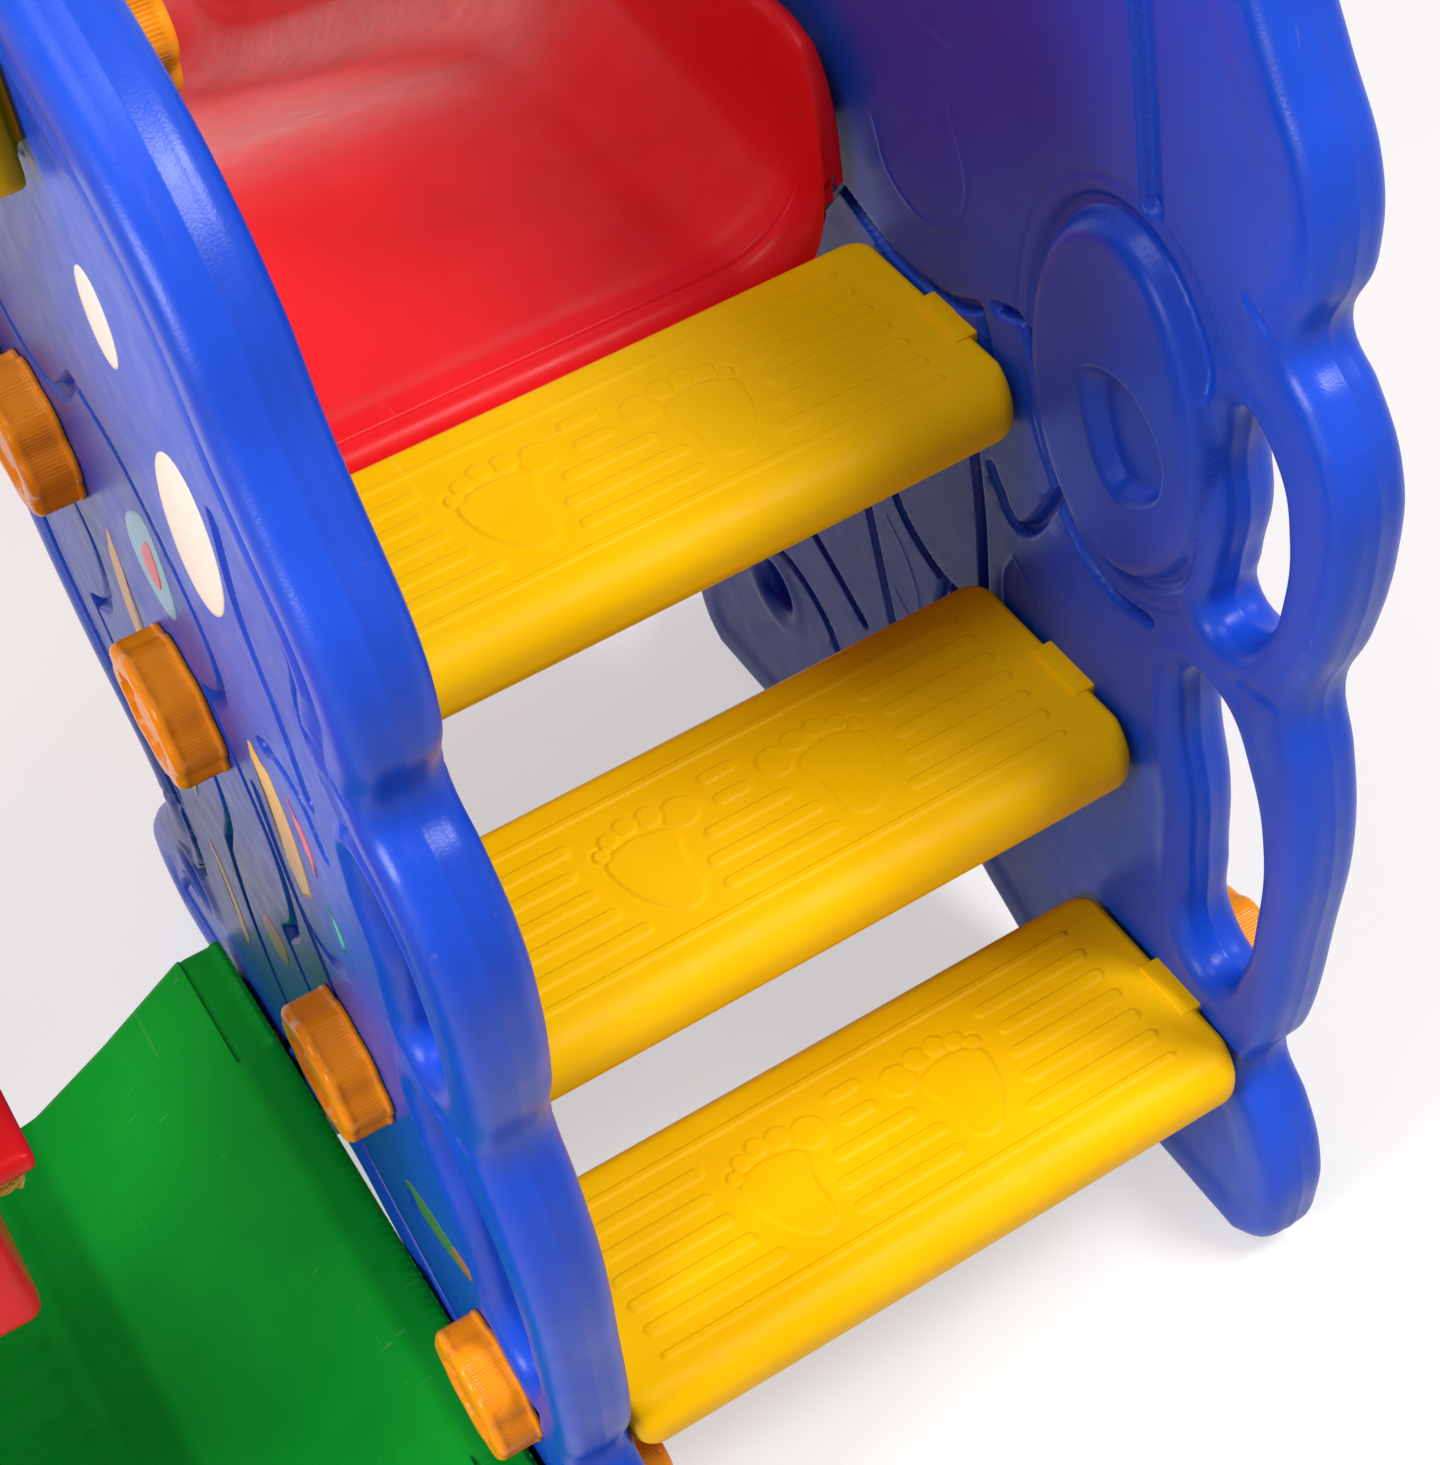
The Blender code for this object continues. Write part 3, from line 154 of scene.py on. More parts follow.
class Tree:
    """The node tree of a material or a world, with short ways to add to it."""

    def __init__(self, holder):
        holder.use_nodes = True
        self.nodes = holder.node_tree.nodes
        self.links = holder.node_tree.links

    def feed(self, socket, value):
        """Links a socket to an output, or sets it to a number, a vector or a colour."""
        if isinstance(value, bpy.types.NodeSocket):
            self.links.new(value, socket)
        elif isinstance(value, tuple) and len(socket.default_value) == 4:
            socket.default_value = (*value, 1.0)
        else:
            socket.default_value = value

    def add(self, kind, sockets, **settings):
        node = self.nodes.new("ShaderNode" + kind)
        for key, value in settings.items():
            setattr(node, key, value)
        for key, value in sockets.items():
            self.feed(node.inputs[key], value)
        return node

    def place(self):
        return self.add("TexCoord", {}).outputs["Object"]

    def noise(self, at, scale, detail, stretch=(1.0, 1.0, 1.0), distortion=0.0):
        where = self.add("Mapping", {"Vector": at, "Scale": stretch}).outputs["Vector"]
        texture = {"Vector": where, "Scale": scale, "Detail": detail, "Distortion": distortion}
        return self.add("TexNoise", texture).outputs["Fac"]

    def ramp(self, value, low, high, bottom=0.0, top=1.0, **settings):
        ends = {"Value": value, "From Min": low, "From Max": high, "To Min": bottom, "To Max": top}
        return self.add("MapRange", ends, **settings).outputs["Result"]

    def maths(self, operation, first, second):
        return self.add("Math", {0: first, 1: second}, operation=operation).outputs["Value"]

    def mixed(self, factor, first, second):
        return self.add("Mix", {"Factor": factor, 6: first, 7: second}, data_type="RGBA").outputs[2]

    def tone(self, value, first, second, end=1.0):
        """A colour that runs from the first to the second as the value rises to end."""
        ramp = self.add("ValToRGB", {"Fac": value})
        ramp.color_ramp.elements[0].color = (*first, 1.0)
        ramp.color_ramp.elements[1].color = (*second, 1.0)
        ramp.color_ramp.elements[1].position = end
        return ramp.outputs["Color"]

    def bumped(self, height, strength, distance):
        sockets = {"Strength": strength, "Distance": distance, "Height": height}
        return self.add("Bump", sockets).outputs["Normal"]

    def finish(self, colour, roughness, normal, **levels):
        """Feeds the surface shader; levels are named after its sockets, with _ for a space."""
        shader = self.nodes["Principled BSDF"]
        for key, value in levels.items():
            shader.inputs[key.replace("_", " ")].default_value = value
        self.feed(shader.inputs["Base Color"], colour)
        self.feed(shader.inputs["Roughness"], roughness)
        self.feed(shader.inputs["Normal"], normal)


SCUFF_TONE = 0.80
SCUFF_PALE = 0.30
# Noise as scale, detail, stretch along x, y and z, and distortion
MOTTLE = (9.0, 4.0)
SCUFFS_ALONG_X = (14.0, 5.0, (1.0, 26.0, 9.0), 0.4)
SCUFFS_ALONG_Y = (11.0, 5.0, (24.0, 1.0, 14.0), 0.6)
SCUFF_PATCHES = (5.0, 3.0)
FINE_GRAIN = (900.0, 3.0)
COARSE_GRAIN = (60.0, 4.0)


def moulded_plastic(name, colour, roughness, grain, scuff, tint, sheen_level):
    """Moulded polyethylene: a leathery grain, slow colour mottling, and fine pale scuffs."""
    made = bpy.data.materials.new(name)
    tree = Tree(made)
    place = tree.place()
    darker = tuple(channel * (1 - 2 * tint) for channel in colour)
    lighter = tuple(min(1.0, channel * (1 + tint) + 0.004) for channel in colour)
    pale = tuple(channel + (SCUFF_TONE - channel) * SCUFF_PALE for channel in colour)
    mottled = tree.mixed(tree.ramp(tree.noise(place, *MOTTLE), 0.35, 0.65), darker, lighter)
    along_x = tree.ramp(tree.noise(place, *SCUFFS_ALONG_X), 0.685, 0.72)
    along_y = tree.ramp(tree.noise(place, *SCUFFS_ALONG_Y), 0.69, 0.73)
    patches = tree.ramp(tree.noise(place, *SCUFF_PATCHES), 0.48, 0.62)
    scuffs = tree.maths("MULTIPLY", tree.maths("MAXIMUM", along_x, along_y), patches)
    scuffed = tree.mixed(tree.maths("MULTIPLY", scuffs, scuff), mottled, pale)
    fine = tree.noise(place, *FINE_GRAIN)
    coarse = tree.noise(place, *COARSE_GRAIN)
    dull = tree.ramp(coarse, 0.3, 0.7, roughness - 0.05, roughness + 0.05)
    rough = tree.maths("ADD", dull, tree.maths("MULTIPLY", scuffs, 0.12))
    height = tree.maths("ADD", tree.maths("MULTIPLY", fine, 0.35), tree.maths("MULTIPLY", coarse, 0.65))
    height = tree.maths("SUBTRACT", height, tree.maths("MULTIPLY", scuffs, 0.05))
    tree.finish(scuffed, rough, tree.bumped(height, grain, 0.001), IOR=1.5, Specular_IOR_Level=sheen_level)
    return made


# Colour, roughness, grain, scuff, tint and sheen level
BLUE = moulded_plastic("moulded_blue", (0.005, 0.060, 0.540), 0.34, 0.26, 0.20, 0.05, 0.24)
YELLOW = moulded_plastic("moulded_yellow", (0.990, 0.555, 0.0), 0.40, 0.10, 0.10, 0.03, 0.06)
ORANGE = moulded_plastic("moulded_orange", (0.990, 0.300, 0.002), 0.26, 0.06, 0.20, 0.04, 0.20)
RED = moulded_plastic("moulded_red", (0.850, 0.010, 0.014), 0.34, 0.12, 0.16, 0.05, 0.14)
GREEN = moulded_plastic("moulded_green", (0.0, 0.320, 0.020), 0.42, 0.18, 0.18, 0.06, 0.07)


def zinc_plated_steel():
    """Bright zinc plating with a faint drawn grain and dull patches."""
    made = bpy.data.materials.new("zinc_plated_steel")
    tree = Tree(made)
    cloud = tree.add("TexNoise", {"Vector": tree.place(), "Scale": 160.0, "Detail": 5.0}).outputs["Fac"]
    tone = tree.tone(cloud, (0.50, 0.50, 0.48), (0.76, 0.77, 0.78))
    rough = tree.ramp(cloud, 0.0, 1.0, 0.22, 0.42)
    tree.finish(tone, rough, tree.bumped(cloud, 0.08, 0.0005), Metallic=1.0)
    return made


STEEL = zinc_plated_steel()


def braided_rope():
    """Yellow braided polypropylene with crossing yarns, painted shade in the grooves between them, and a soft
    sheen.
    """
    made = bpy.data.materials.new("braided_rope")
    tree = Tree(made)
    place = tree.place()
    yarns = []
    for turn in (radians(35.0), radians(-35.0)):
        where = tree.add("Mapping", {"Vector": place, "Rotation": (turn, turn, 0.0)}).outputs["Vector"]
        wave = {"Vector": where, "Scale": 240.0, "Distortion": 1.2}
        yarns.append(tree.add("TexWave", wave, bands_direction="Z").outputs["Fac"])
    woven = tree.maths("MULTIPLY", *yarns)
    # The yarn tone darkens towards the low parts of the weave: painted shade in the grooves between the
    # yarns.
    tone = tree.tone(woven, (0.50, 0.30, 0.02), (0.90, 0.64, 0.06), 0.6)
    rough = tree.ramp(woven, 0.0, 1.0, 0.80, 0.60)
    tree.finish(tone, rough, tree.bumped(woven, 0.5, 0.0006), Sheen_Weight=0.25, Sheen_Roughness=0.4)
    return made


ROPE = braided_rope()


def print_ink(name, first, second, low, high):
    """Satin printed film that fades from one colour to another up the panel, with worn specks."""
    made = bpy.data.materials.new(name)
    tree = Tree(made)
    place = tree.place()
    level = tree.add("SeparateXYZ", {"Vector": place}).outputs["Z"]
    mix = tree.mixed(tree.ramp(level, low, high), first, second)
    specks = tree.add("TexNoise", {"Vector": place, "Scale": 420.0, "Detail": 4.0}).outputs["Fac"]
    faded = tree.mixed(tree.ramp(specks, 0.40, 0.72, 0.0, 0.22), mix, (0.45, 0.42, 0.42))
    tree.finish(faded, tree.ramp(specks, 0.0, 1.0, 0.30, 0.50), tree.bumped(specks, 0.08, 0.0004))
    return made


CREAM = print_ink("print_cream", (0.86, 0.74, 0.60), (0.90, 0.82, 0.72), 0.55, 0.75)
SKY = print_ink("print_sky", (0.22, 0.52, 0.72), (0.30, 0.62, 0.80), 0.50, 0.65)
ROSE = print_ink("print_rose", (0.75, 0.10, 0.12), (0.80, 0.16, 0.22), 0.45, 0.62)
TAN = print_ink("print_tan", (0.62, 0.42, 0.26), (0.80, 0.50, 0.22), 0.15, 0.55)
SUN = print_ink("print_sun", (0.82, 0.52, 0.22), (0.90, 0.52, 0.02), 0.44, 0.53)
MINT = print_ink("print_mint", (0.05, 0.50, 0.30), (0.08, 0.60, 0.40), 0.40, 0.50)
OLIVE = print_ink("print_olive", (0.16, 0.20, 0.04), (0.55, 0.12, 0.16), 0.262, 0.296)
LEAF = print_ink("print_leaf", (0.01, 0.14, 0.03), (0.03, 0.20, 0.05), 0.14, 0.24)
BARK = print_ink("print_bark", (0.32, 0.07, 0.03), (0.40, 0.16, 0.06), 0.20, 0.26)


# Meshes


def linked(name, data):
    obj = bpy.data.objects.new(name, data)
    bpy.context.scene.collection.objects.link(obj)
    return obj


def mesh_piece(name, vertices, faces, finish, carried=ORIGIN):
    """A smooth mesh object whose vertices are carried from the local frame to the shared frame."""
    mesh = bpy.data.meshes.new(name)
    points = np.asarray(vertices, float) + np.array(carried)
    mesh.from_pydata(points.tolist(), [], [list(map(int, face)) for face in faces])
    mesh.validate()
    mesh.shade_smooth()
    mesh.materials.append(finish)
    return linked(name, mesh)


def recalculated(obj, crease=None):
    """Turns every face outwards, and sharpens edges that bend by more than the crease angle."""
    made = bmesh.new()
    made.from_mesh(obj.data)
    bmesh.ops.recalc_face_normals(made, faces=made.faces)
    made.to_mesh(obj.data)
    made.free()
    if crease:
        obj.data.set_sharp_from_angle(angle=radians(crease))
    return obj


def part_of(obj, body="frame"):
    """A piece beside its node's main one, on the same body."""
    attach(obj, body)
    return obj


def stands_for(obj, node, body="frame"):
    """The piece takes a CAD node's place on its body."""
    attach(obj, body)
    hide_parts(node)
    return obj


def grid_faces(rows, columns, closed=False):
    """Quads between rows of vertices; closed joins the last column to the first."""
    across = columns if closed else columns - 1
    row = np.arange(rows - 1)[:, None] * columns
    here = np.arange(across)[None, :]
    after = (here + 1) % columns
    below = row + columns
    corners = np.broadcast_arrays(row + here, row + after, below + after, below + here)
    return np.stack(corners, -1).reshape(-1, 4)


def capped(rings, sides):
    """Faces of a skin over closed rings of points, with a flat face at either end."""
    faces = [tuple(face) for face in grid_faces(rings, sides, closed=True)]
    faces.append(tuple(range(sides)))
    faces.append(tuple(range((rings - 1) * sides, rings * sides)))
    return faces


def around(count):
    """Evenly spaced angles round a full turn."""
    return np.arange(count) * 2 * pi / count


def upward_normals(grid):
    normal = np.cross(np.gradient(grid, axis=1), np.gradient(grid, axis=0))
    normal /= np.linalg.norm(normal, axis=2)[:, :, None]
    return normal if normal[..., 2].mean() > 0 else -normal


def smooth_step(low, high, value):
    share = np.clip((value - low) / (high - low), 0.0, 1.0)
    return share * share * (3 - 2 * share)


def loop_points(loop, spacing):
    """Evenly spaced points along a closed curve with Blender's automatic handles."""
    curve = bpy.data.curves.new("outline", "CURVE")
    curve.dimensions = "2D"
    curve.fill_mode = "NONE"
    curve.resolution_u = 16
    spline = curve.splines.new("BEZIER")
    spline.bezier_points.add(len(loop) - 1)
    for point, (u, v, *sharp) in zip(spline.bezier_points, loop):
        point.co = (u, v, 0.0)
        point.handle_left_type = point.handle_right_type = "VECTOR" if sharp else "AUTO"
    spline.use_cyclic_u = True
    holder = linked("outline", curve)
    bpy.context.view_layer.update()
    mesh = holder.to_mesh()
    raw = np.array([vertex.co[:2] for vertex in mesh.vertices])
    holder.to_mesh_clear()
    bpy.data.objects.remove(holder)
    bpy.data.curves.remove(curve)
    closed = np.vstack([raw, raw[:1]])
    lengths = np.concatenate([[0.0], np.cumsum(np.hypot(*np.diff(closed, axis=0).T))])
    count = max(8, int(round(lengths[-1] / spacing)))
    at = np.arange(count) * lengths[-1] / count
    return np.stack([np.interp(at, lengths, closed[:, k]) for k in (0, 1)], 1)


def signed_area(loop):
    u, v = loop.T
    return 0.5 * float(np.sum(u * np.roll(v, -1) - np.roll(u, -1) * v))


def inward_normals(loop, is_hole):
    """Unit normals of a closed loop that point into the material."""
    tangent = np.roll(loop, -1, 0) - np.roll(loop, 1, 0)
    tangent /= np.hypot(*tangent.T)[:, None]
    left = np.stack([-tangent[:, 1], tangent[:, 0]], 1)
    turn = 1.0 if signed_area(loop) > 0 else -1.0
    return left * turn * (-1.0 if is_hole else 1.0)


def distances(points, targets):
    """Distance from each point to the nearest of the targets."""
    tree = kdtree.KDTree(len(targets))
    for index, (u, v) in enumerate(targets):
        tree.insert((u, v, 0.0), index)
    tree.balance()
    return np.array([tree.find((u, v, 0.0))[2] for u, v in points])


def dense(loops, spacing=0.0006):
    """Closed loops filled in until their points lie no further apart than the spacing."""
    found = []
    for loop in loops:
        following = np.roll(loop, -1, 0)
        pieces = np.maximum(1, np.ceil(np.hypot(*(following - loop).T) / spacing)).astype(int)
        for start, end, count in zip(loop, following, pieces):
            share = np.arange(count)[:, None] / count
            found.append(start + (end - start) * share)
    return np.vstack(found)


def inside(points, loop):
    """Which points lie inside a closed loop."""
    result = np.zeros(len(points), bool)
    for (u0, v0), (u1, v1) in zip(loop, np.roll(loop, -1, 0)):
        if v0 == v1:
            continue
        crosses = (points[:, 1] > v0) != (points[:, 1] > v1)
        at = u0 + (points[:, 1] - v0) * (u1 - u0) / (v1 - v0)
        result ^= crosses & (points[:, 0] < at)
    return result


def triangulated(points, loops, keep):
    """Points, triangles, and the place of each loop point; keep is Blender's choice of faces to keep."""
    edges = []
    start = 0
    for loop in loops:
        count = len(loop)
        edges += [(start + k, start + (k + 1) % count) for k in range(count)]
        start += count
    found = geometry.delaunay_2d_cdt([Vector(p) for p in points], edges, [], keep, 1e-7, True)
    place = {}
    for index, origins in enumerate(found[3]):
        for origin in origins:
            if origin < start:
                place[origin] = index
    triangles = [tuple(face) for face in found[2] if len(face) == 3]
    return np.array([tuple(p) for p in found[0]]), triangles, place


def inside_region(points, outer, holes):
    kept = inside(points, outer)
    for hole in holes:
        kept &= ~inside(points, hole)
    return kept


class Plan:
    """A triangulated flat region: loops, rings that follow them inwards, and a fill, fine near detail."""

    def __init__(self, outer, holes, depths, detail=None, fine=0.0016, coarse=0.009):
        self.loops = [outer, *holes]
        self.edge_targets = dense(self.loops)
        self.outer_targets = dense([outer])
        self.hole_targets = dense(holes)
        points = list(self.loops)
        for depth in depths:
            for index, loop in enumerate(self.loops):
                moved = loop + inward_normals(loop, index > 0) * depth
                keep = distances(moved, self.edge_targets) > depth - 0.0002
                keep &= inside(moved, outer)
                points.append(moved[keep])
        rings = np.vstack(points)
        low = outer.min(0)
        high = outer.max(0)
        fills = []
        for pitch in (coarse, fine) if detail else (coarse,):
            us = np.arange(low[0], high[0], pitch)
            vs = np.arange(low[1], high[1], pitch * 0.866)
            grid = np.stack(np.meshgrid(us, vs), -1)
            grid[1::2, :, 0] += pitch / 2
            grid = grid.reshape(-1, 2)
            if pitch == fine and detail:
                grid = grid[detail(grid)]
            grid = grid[inside_region(grid, outer, holes)]
            grid = grid[distances(grid, rings) > pitch * 0.45]
            fills.append(grid[distances(grid, self.edge_targets) > 0.002])
        if detail:
            fills[0] = fills[0][distances(fills[0], fills[1]) > fine * 1.2] if len(fills[1]) else fills[0]
        self.points, triangles, self.loop_of = triangulated(np.vstack([rings, *fills]), self.loops, 0)
        triangles = np.array(triangles)
        on_rim = np.isin(triangles, list(self.loop_of.values())).all(1)
        centres = self.points[triangles[on_rim]].mean(1)
        keep = np.ones(len(triangles), bool)
        keep[np.where(on_rim)[0][~inside_region(centres, outer, holes)]] = False
        self.triangles = triangles[keep]
        self.edge = distances(self.points, self.edge_targets)
        self.edge[list(self.loop_of.values())] = 0.0
        self.outer_edge = distances(self.points, self.outer_targets)
        self.hole_edge = distances(self.points, self.hole_targets)


PARTING_RIDGE = 0.0004
PARTING_BAND = ((0.00168, 0.0), (0.0007, PARTING_RIDGE), (-0.0007, PARTING_RIDGE), (-0.00168, 0.0))


def moulded(name, plan, front, back, finish, middle_x):
    """Two relief faces over a plan, closed by a side wall that carries the mould's parting line."""
    count = len(plan.points)
    faces = list(plan.triangles)
    faces += [(a + count, c + count, b + count) for a, b, c in plan.triangles]
    flat = plan.points
    vertices = [np.column_stack([flat, front]), np.column_stack([flat, -back])]
    total = 2 * count
    start = 0
    for number, loop in enumerate(plan.loops):
        outward = -inward_normals(loop, number > 0)
        ring = np.array([plan.loop_of[start + k] for k in range(len(loop))])
        start += len(loop)
        rows = [ring]
        for level, push in PARTING_BAND:
            vertices.append(np.column_stack([loop + outward * push, np.full(len(ring), level)]))
            rows.append(np.arange(total, total + len(ring)))
            total += len(ring)
        rows.append(ring + count)
        turn = (signed_area(loop) > 0) != (number > 0)
        for above, below in zip(rows, rows[1:]):
            for k in range(len(ring)):
                after = (k + 1) % len(ring)
                quad = (above[k], below[k], below[after], above[after])
                faces.append(quad if turn else quad[::-1])
    y, z, level = np.vstack(vertices).T
    return recalculated(mesh_piece(name, np.column_stack([level + middle_x, y, z]), faces, finish))


def rounding(depth, radius, half):
    """Height of a face at a depth from its edge, where the edge is a quarter round."""
    inner = np.clip(radius - depth, 0.0, radius)
    return half - radius + np.sqrt(np.maximum(radius * radius - inner * inner, 0.0))


def polyline_distance(points, line):
    """Distance from each point to an open line of points."""
    best = np.full(len(points), 1e9)
    for start, end in zip(line, line[1:]):
        start = np.array(start)
        run = np.array(end) - start
        share = np.clip(((points - start) @ run) / max(run @ run, 1e-12), 0.0, 1.0)
        best = np.minimum(best, np.hypot(*(points - start - share[:, None] * run).T))
    return best


def curved(points, steps=10):
    """A smooth open line through the points."""
    points = np.array(points, float)
    padded = np.vstack([2 * points[0] - points[1], points, 2 * points[-1] - points[-2]])
    found = []
    for a, b, c, d in zip(padded, padded[1:], padded[2:], padded[3:]):
        squared = 2 * a - 5 * b + 4 * c - d
        cubed = 3 * b - a - 3 * c + d
        for k in range(steps):
            t = k / steps
            found.append(0.5 * (2 * b + (c - a) * t + squared * t * t + cubed * t ** 3))
    found.append(points[-1])
    return np.array(found)


# Camera, floor and light, first so that the view is fixed before anything is made

CAMERA_AT = Vector((-0.0193, -1.27646, 1.2964))
CAMERA_TURN = Matrix((
    (0.85138, 0.44199, -0.28247),
    (-0.51675, 0.61425, -0.59637),
    (-0.09008, 0.65371, 0.75137),
))
PHOTO_LENS = 64.34
PHOTO_SENSOR = 36.0
AMBIENT = (0.25, 0.155, 0.145)
FLOOR_LIFT = 0.55
FLOOR_HALF = 30.0
FLOOR_CLEAR = 1.3
FLOOR_WHITE = 2.6


def camera():
    data = bpy.data.cameras.new("photo_camera")
    data.lens = PHOTO_LENS
    data.sensor_width = PHOTO_SENSOR
    data.clip_end = 50.0
    obj = linked("photo_camera", data)
    obj.matrix_world = Matrix.Translation(CAMERA_AT) @ CAMERA_TURN.to_4x4()
    bpy.context.scene.camera = obj


def seen_or_ambient(tree):
    """White to the camera and in reflections, and the ambient colour to all other light."""
    path = tree.add("LightPath", {}).outputs
    seen = tree.maths("MAXIMUM", path["Is Camera Ray"], path["Is Glossy Ray"])
    return tree.mixed(tree.maths("MAXIMUM", seen, path["Is Transmission Ray"]), AMBIENT, (1.0, 1.0, 1.0))


def floor():
    """A wide pale floor that keeps the object's shadow and fades into the white surround."""
    corners = [(x * FLOOR_HALF, y * FLOOR_HALF, 0) for x, y in ((-1, -1), (1, -1), (1, 1), (-1, 1))]
    mesh = bpy.data.meshes.new("studio_floor")
    mesh.from_pydata(corners, [], [(0, 1, 2, 3)])
    obj = linked("studio_floor", mesh)
    made = bpy.data.materials.new("pale_floor")
    tree = Tree(made)
    shader = tree.nodes["Principled BSDF"]
    shader.inputs["Base Color"].default_value = (0.93, 0.93, 0.93, 1.0)
    shader.inputs["Roughness"].default_value = 0.9
    shader.inputs["Specular IOR Level"].default_value = 0.1
    white = tree.add("Emission", {"Color": seen_or_ambient(tree)}).outputs["Emission"]
    reach = tree.add("VectorMath", {0: tree.place()}, operation="LENGTH").outputs["Value"]
    fade = tree.ramp(reach, FLOOR_CLEAR, FLOOR_WHITE, FLOOR_LIFT, 1.0, interpolation_type="SMOOTHSTEP")
    mix = tree.add("MixShader", {"Fac": fade, 1: shader.outputs["BSDF"], 2: white})
    tree.feed(tree.nodes["Material Output"].inputs["Surface"], mix.outputs["Shader"])
    mesh.materials.append(made)
    obj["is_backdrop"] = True


def area_light(name, at, towards, size, power):
    data = bpy.data.lights.new(name, "AREA")
    data.shape = "RECTANGLE"
    data.size = size[0]
    data.size_y = size[1]
    data.energy = power
    obj = linked(name, data)
    obj.location = at
    obj.rotation_euler = (Vector(towards) - Vector(at)).to_track_quat("-Z", "Y").to_euler()


def surround():
    """Soft even light from all round, which the camera and reflections see as white."""
    world = bpy.data.worlds.new("studio")
    bpy.context.scene.world = world
    tree = Tree(world)
    tree.feed(tree.nodes["Background"].inputs["Color"], seen_or_ambient(tree))


camera()
floor()
surround()
area_light("key_softbox", (1.45, -1.7, 3.0), (0.2, -0.3, 0.35), (1.0, 0.8), 84.0)
area_light("top_softbox", (-0.6, -0.6, 3.4), (0.0, -0.3, 0.4), (1.4, 1.4), 31.0)
area_light("fill_softbox", (-2.4, -1.10, 1.3), (-0.2, -0.6, 0.35), (0.9, 0.8), 66.0)
bpy.context.scene.view_settings.view_transform = "Standard"


# Ropes, made straight after the camera: each is knotted under its spreader and under the seat's arm

ROPE_RADIUS = 0.005
KNOT_RADIUS = 0.0095
KNOT_LENGTH = 0.018
ROPE_TOP = (0.036, -0.0998)
ROPE_LOW_Y = (0.107, -0.081)
ROPE_LOW_Z = -0.3483
ARM_FLANGE_THICK = 0.012
ROPE_AT = 0.150
YARN_RADIUS = 0.0036
STRANDS = 8
LAY = 0.017
KNOT_TURNS = 2.15
KNOT_COIL = 0.0058
KNOT_MIDDLE = 0.0085
KNOT_RISE = 0.0096
KNOT_LEAN = 0.0022
KNOT_GAP = 0.0006
ROPE_STEP = 0.0010


def tube(name, route, size, finish, closed=False, sides=20, carried=ORIGIN):
    """A tube along a route; size is a radius, or gives it from (angles, distance along)."""
    route = np.asarray(route, float)
    if closed:
        tangent = np.roll(route, -1, 0) - np.roll(route, 1, 0)
    else:
        tangent = np.gradient(route, axis=0)
    tangent /= np.linalg.norm(tangent, axis=1)[:, None]
    along = np.concatenate([[0.0], np.cumsum(np.linalg.norm(np.diff(route, axis=0), axis=1))])
    angles = around(sides)
    normal = np.array(Vector(tangent[0]).orthogonal().normalized())
    rows = []
    for point, direction, distance in zip(route, tangent, along):
        normal = normal - direction * (normal @ direction)
        normal /= np.linalg.norm(normal)
        other = np.cross(direction, normal)
        radius = size(angles, distance) if callable(size) else size
        ring = np.outer(np.cos(angles) * radius, normal) + np.outer(np.sin(angles) * radius, other)
        rows.append(point + ring)
    faces = capped(len(rows), sides)
    if closed:
        faces = faces[:-2]
        shift = int(np.argmin(np.linalg.norm(rows[-1] - rows[0][0], axis=1)))
        joined = np.roll(np.arange(sides) + (len(rows) - 1) * sides, -shift)
        for k in range(sides):
            after = (k + 1) % sides
            faces.append((joined[k], joined[after], after, k))
    return recalculated(mesh_piece(name, np.vstack(rows), faces, finish, carried))


def plait(radius):
    """Radius of a plaited rope: crossing ridges that run round it both ways."""
    def size(angles, along):
        first = np.cos(STRANDS / 2 * (angles + 2 * pi * along / LAY))
        second = np.cos(STRANDS / 2 * (angles - 2 * pi * along / LAY))
        return radius * (0.95 + 0.05 * np.maximum(first, second))
    return size


def rope_knot(name, middle, down):
    """A coil of yarn about a rope's end."""
    first = np.array((1.0, 0.0, 0.0))
    second = np.cross(down, first)
    coil = []
    for share in np.linspace(0, 1, 130):
        angle = 2 * pi * KNOT_TURNS * share
        level = KNOT_RISE * (share - 0.5) + KNOT_LEAN * sin(angle)
        coil.append(middle + down * level + (first * cos(angle) + second * sin(angle)) * KNOT_COIL)
    made = tube(name, coil, plait(YARN_RADIUS), ROPE, sides=24, carried=PIVOT)
    return part_of(made, "swing")


def rope(name, node, side, front):
    """A rope from its spreader to the seat's arm, with a knot at each end."""
    way = 1 if front else -1
    top = np.array((side * ROPE_AT, way * ROPE_TOP[0], ROPE_TOP[1]))
    low = np.array((side * ROPE_AT, ROPE_LOW_Y[0 if front else 1], ROPE_LOW_Z))
    run = np.linalg.norm(low - top)
    down = (low - top) / run
    tilt = hypot(down[0], down[1]) / abs(down[2])
    start = ROPE_RADIUS * tilt / 2
    below = run + ARM_FLANGE_THICK / 2 / abs(down[2]) + KNOT_RADIUS * tilt + KNOT_GAP
    route = np.array([top + down * s for s in np.arange(start, below + KNOT_LENGTH, ROPE_STEP)])
    piece = tube(name, route, plait(ROPE_RADIUS * 0.97), ROPE, sides=40, carried=PIVOT)
    stands_for(piece, node, "swing")
    knots = [
        rope_knot(f"{name}_{label}_knot", top + down * (reach + KNOT_MIDDLE), down)
        for label, reach in (("top", start), ("low", below))
    ]


for end, side in (("outer", -1), ("inner", 1)):
    rope(f"{end}_front_rope_line", f"{end}_front_rope", side, True)
    rope(f"{end}_rear_rope_line", f"{end}_rear_rope", side, False)


# Steps with their raised bars and footprints, in metres from the step's back rib

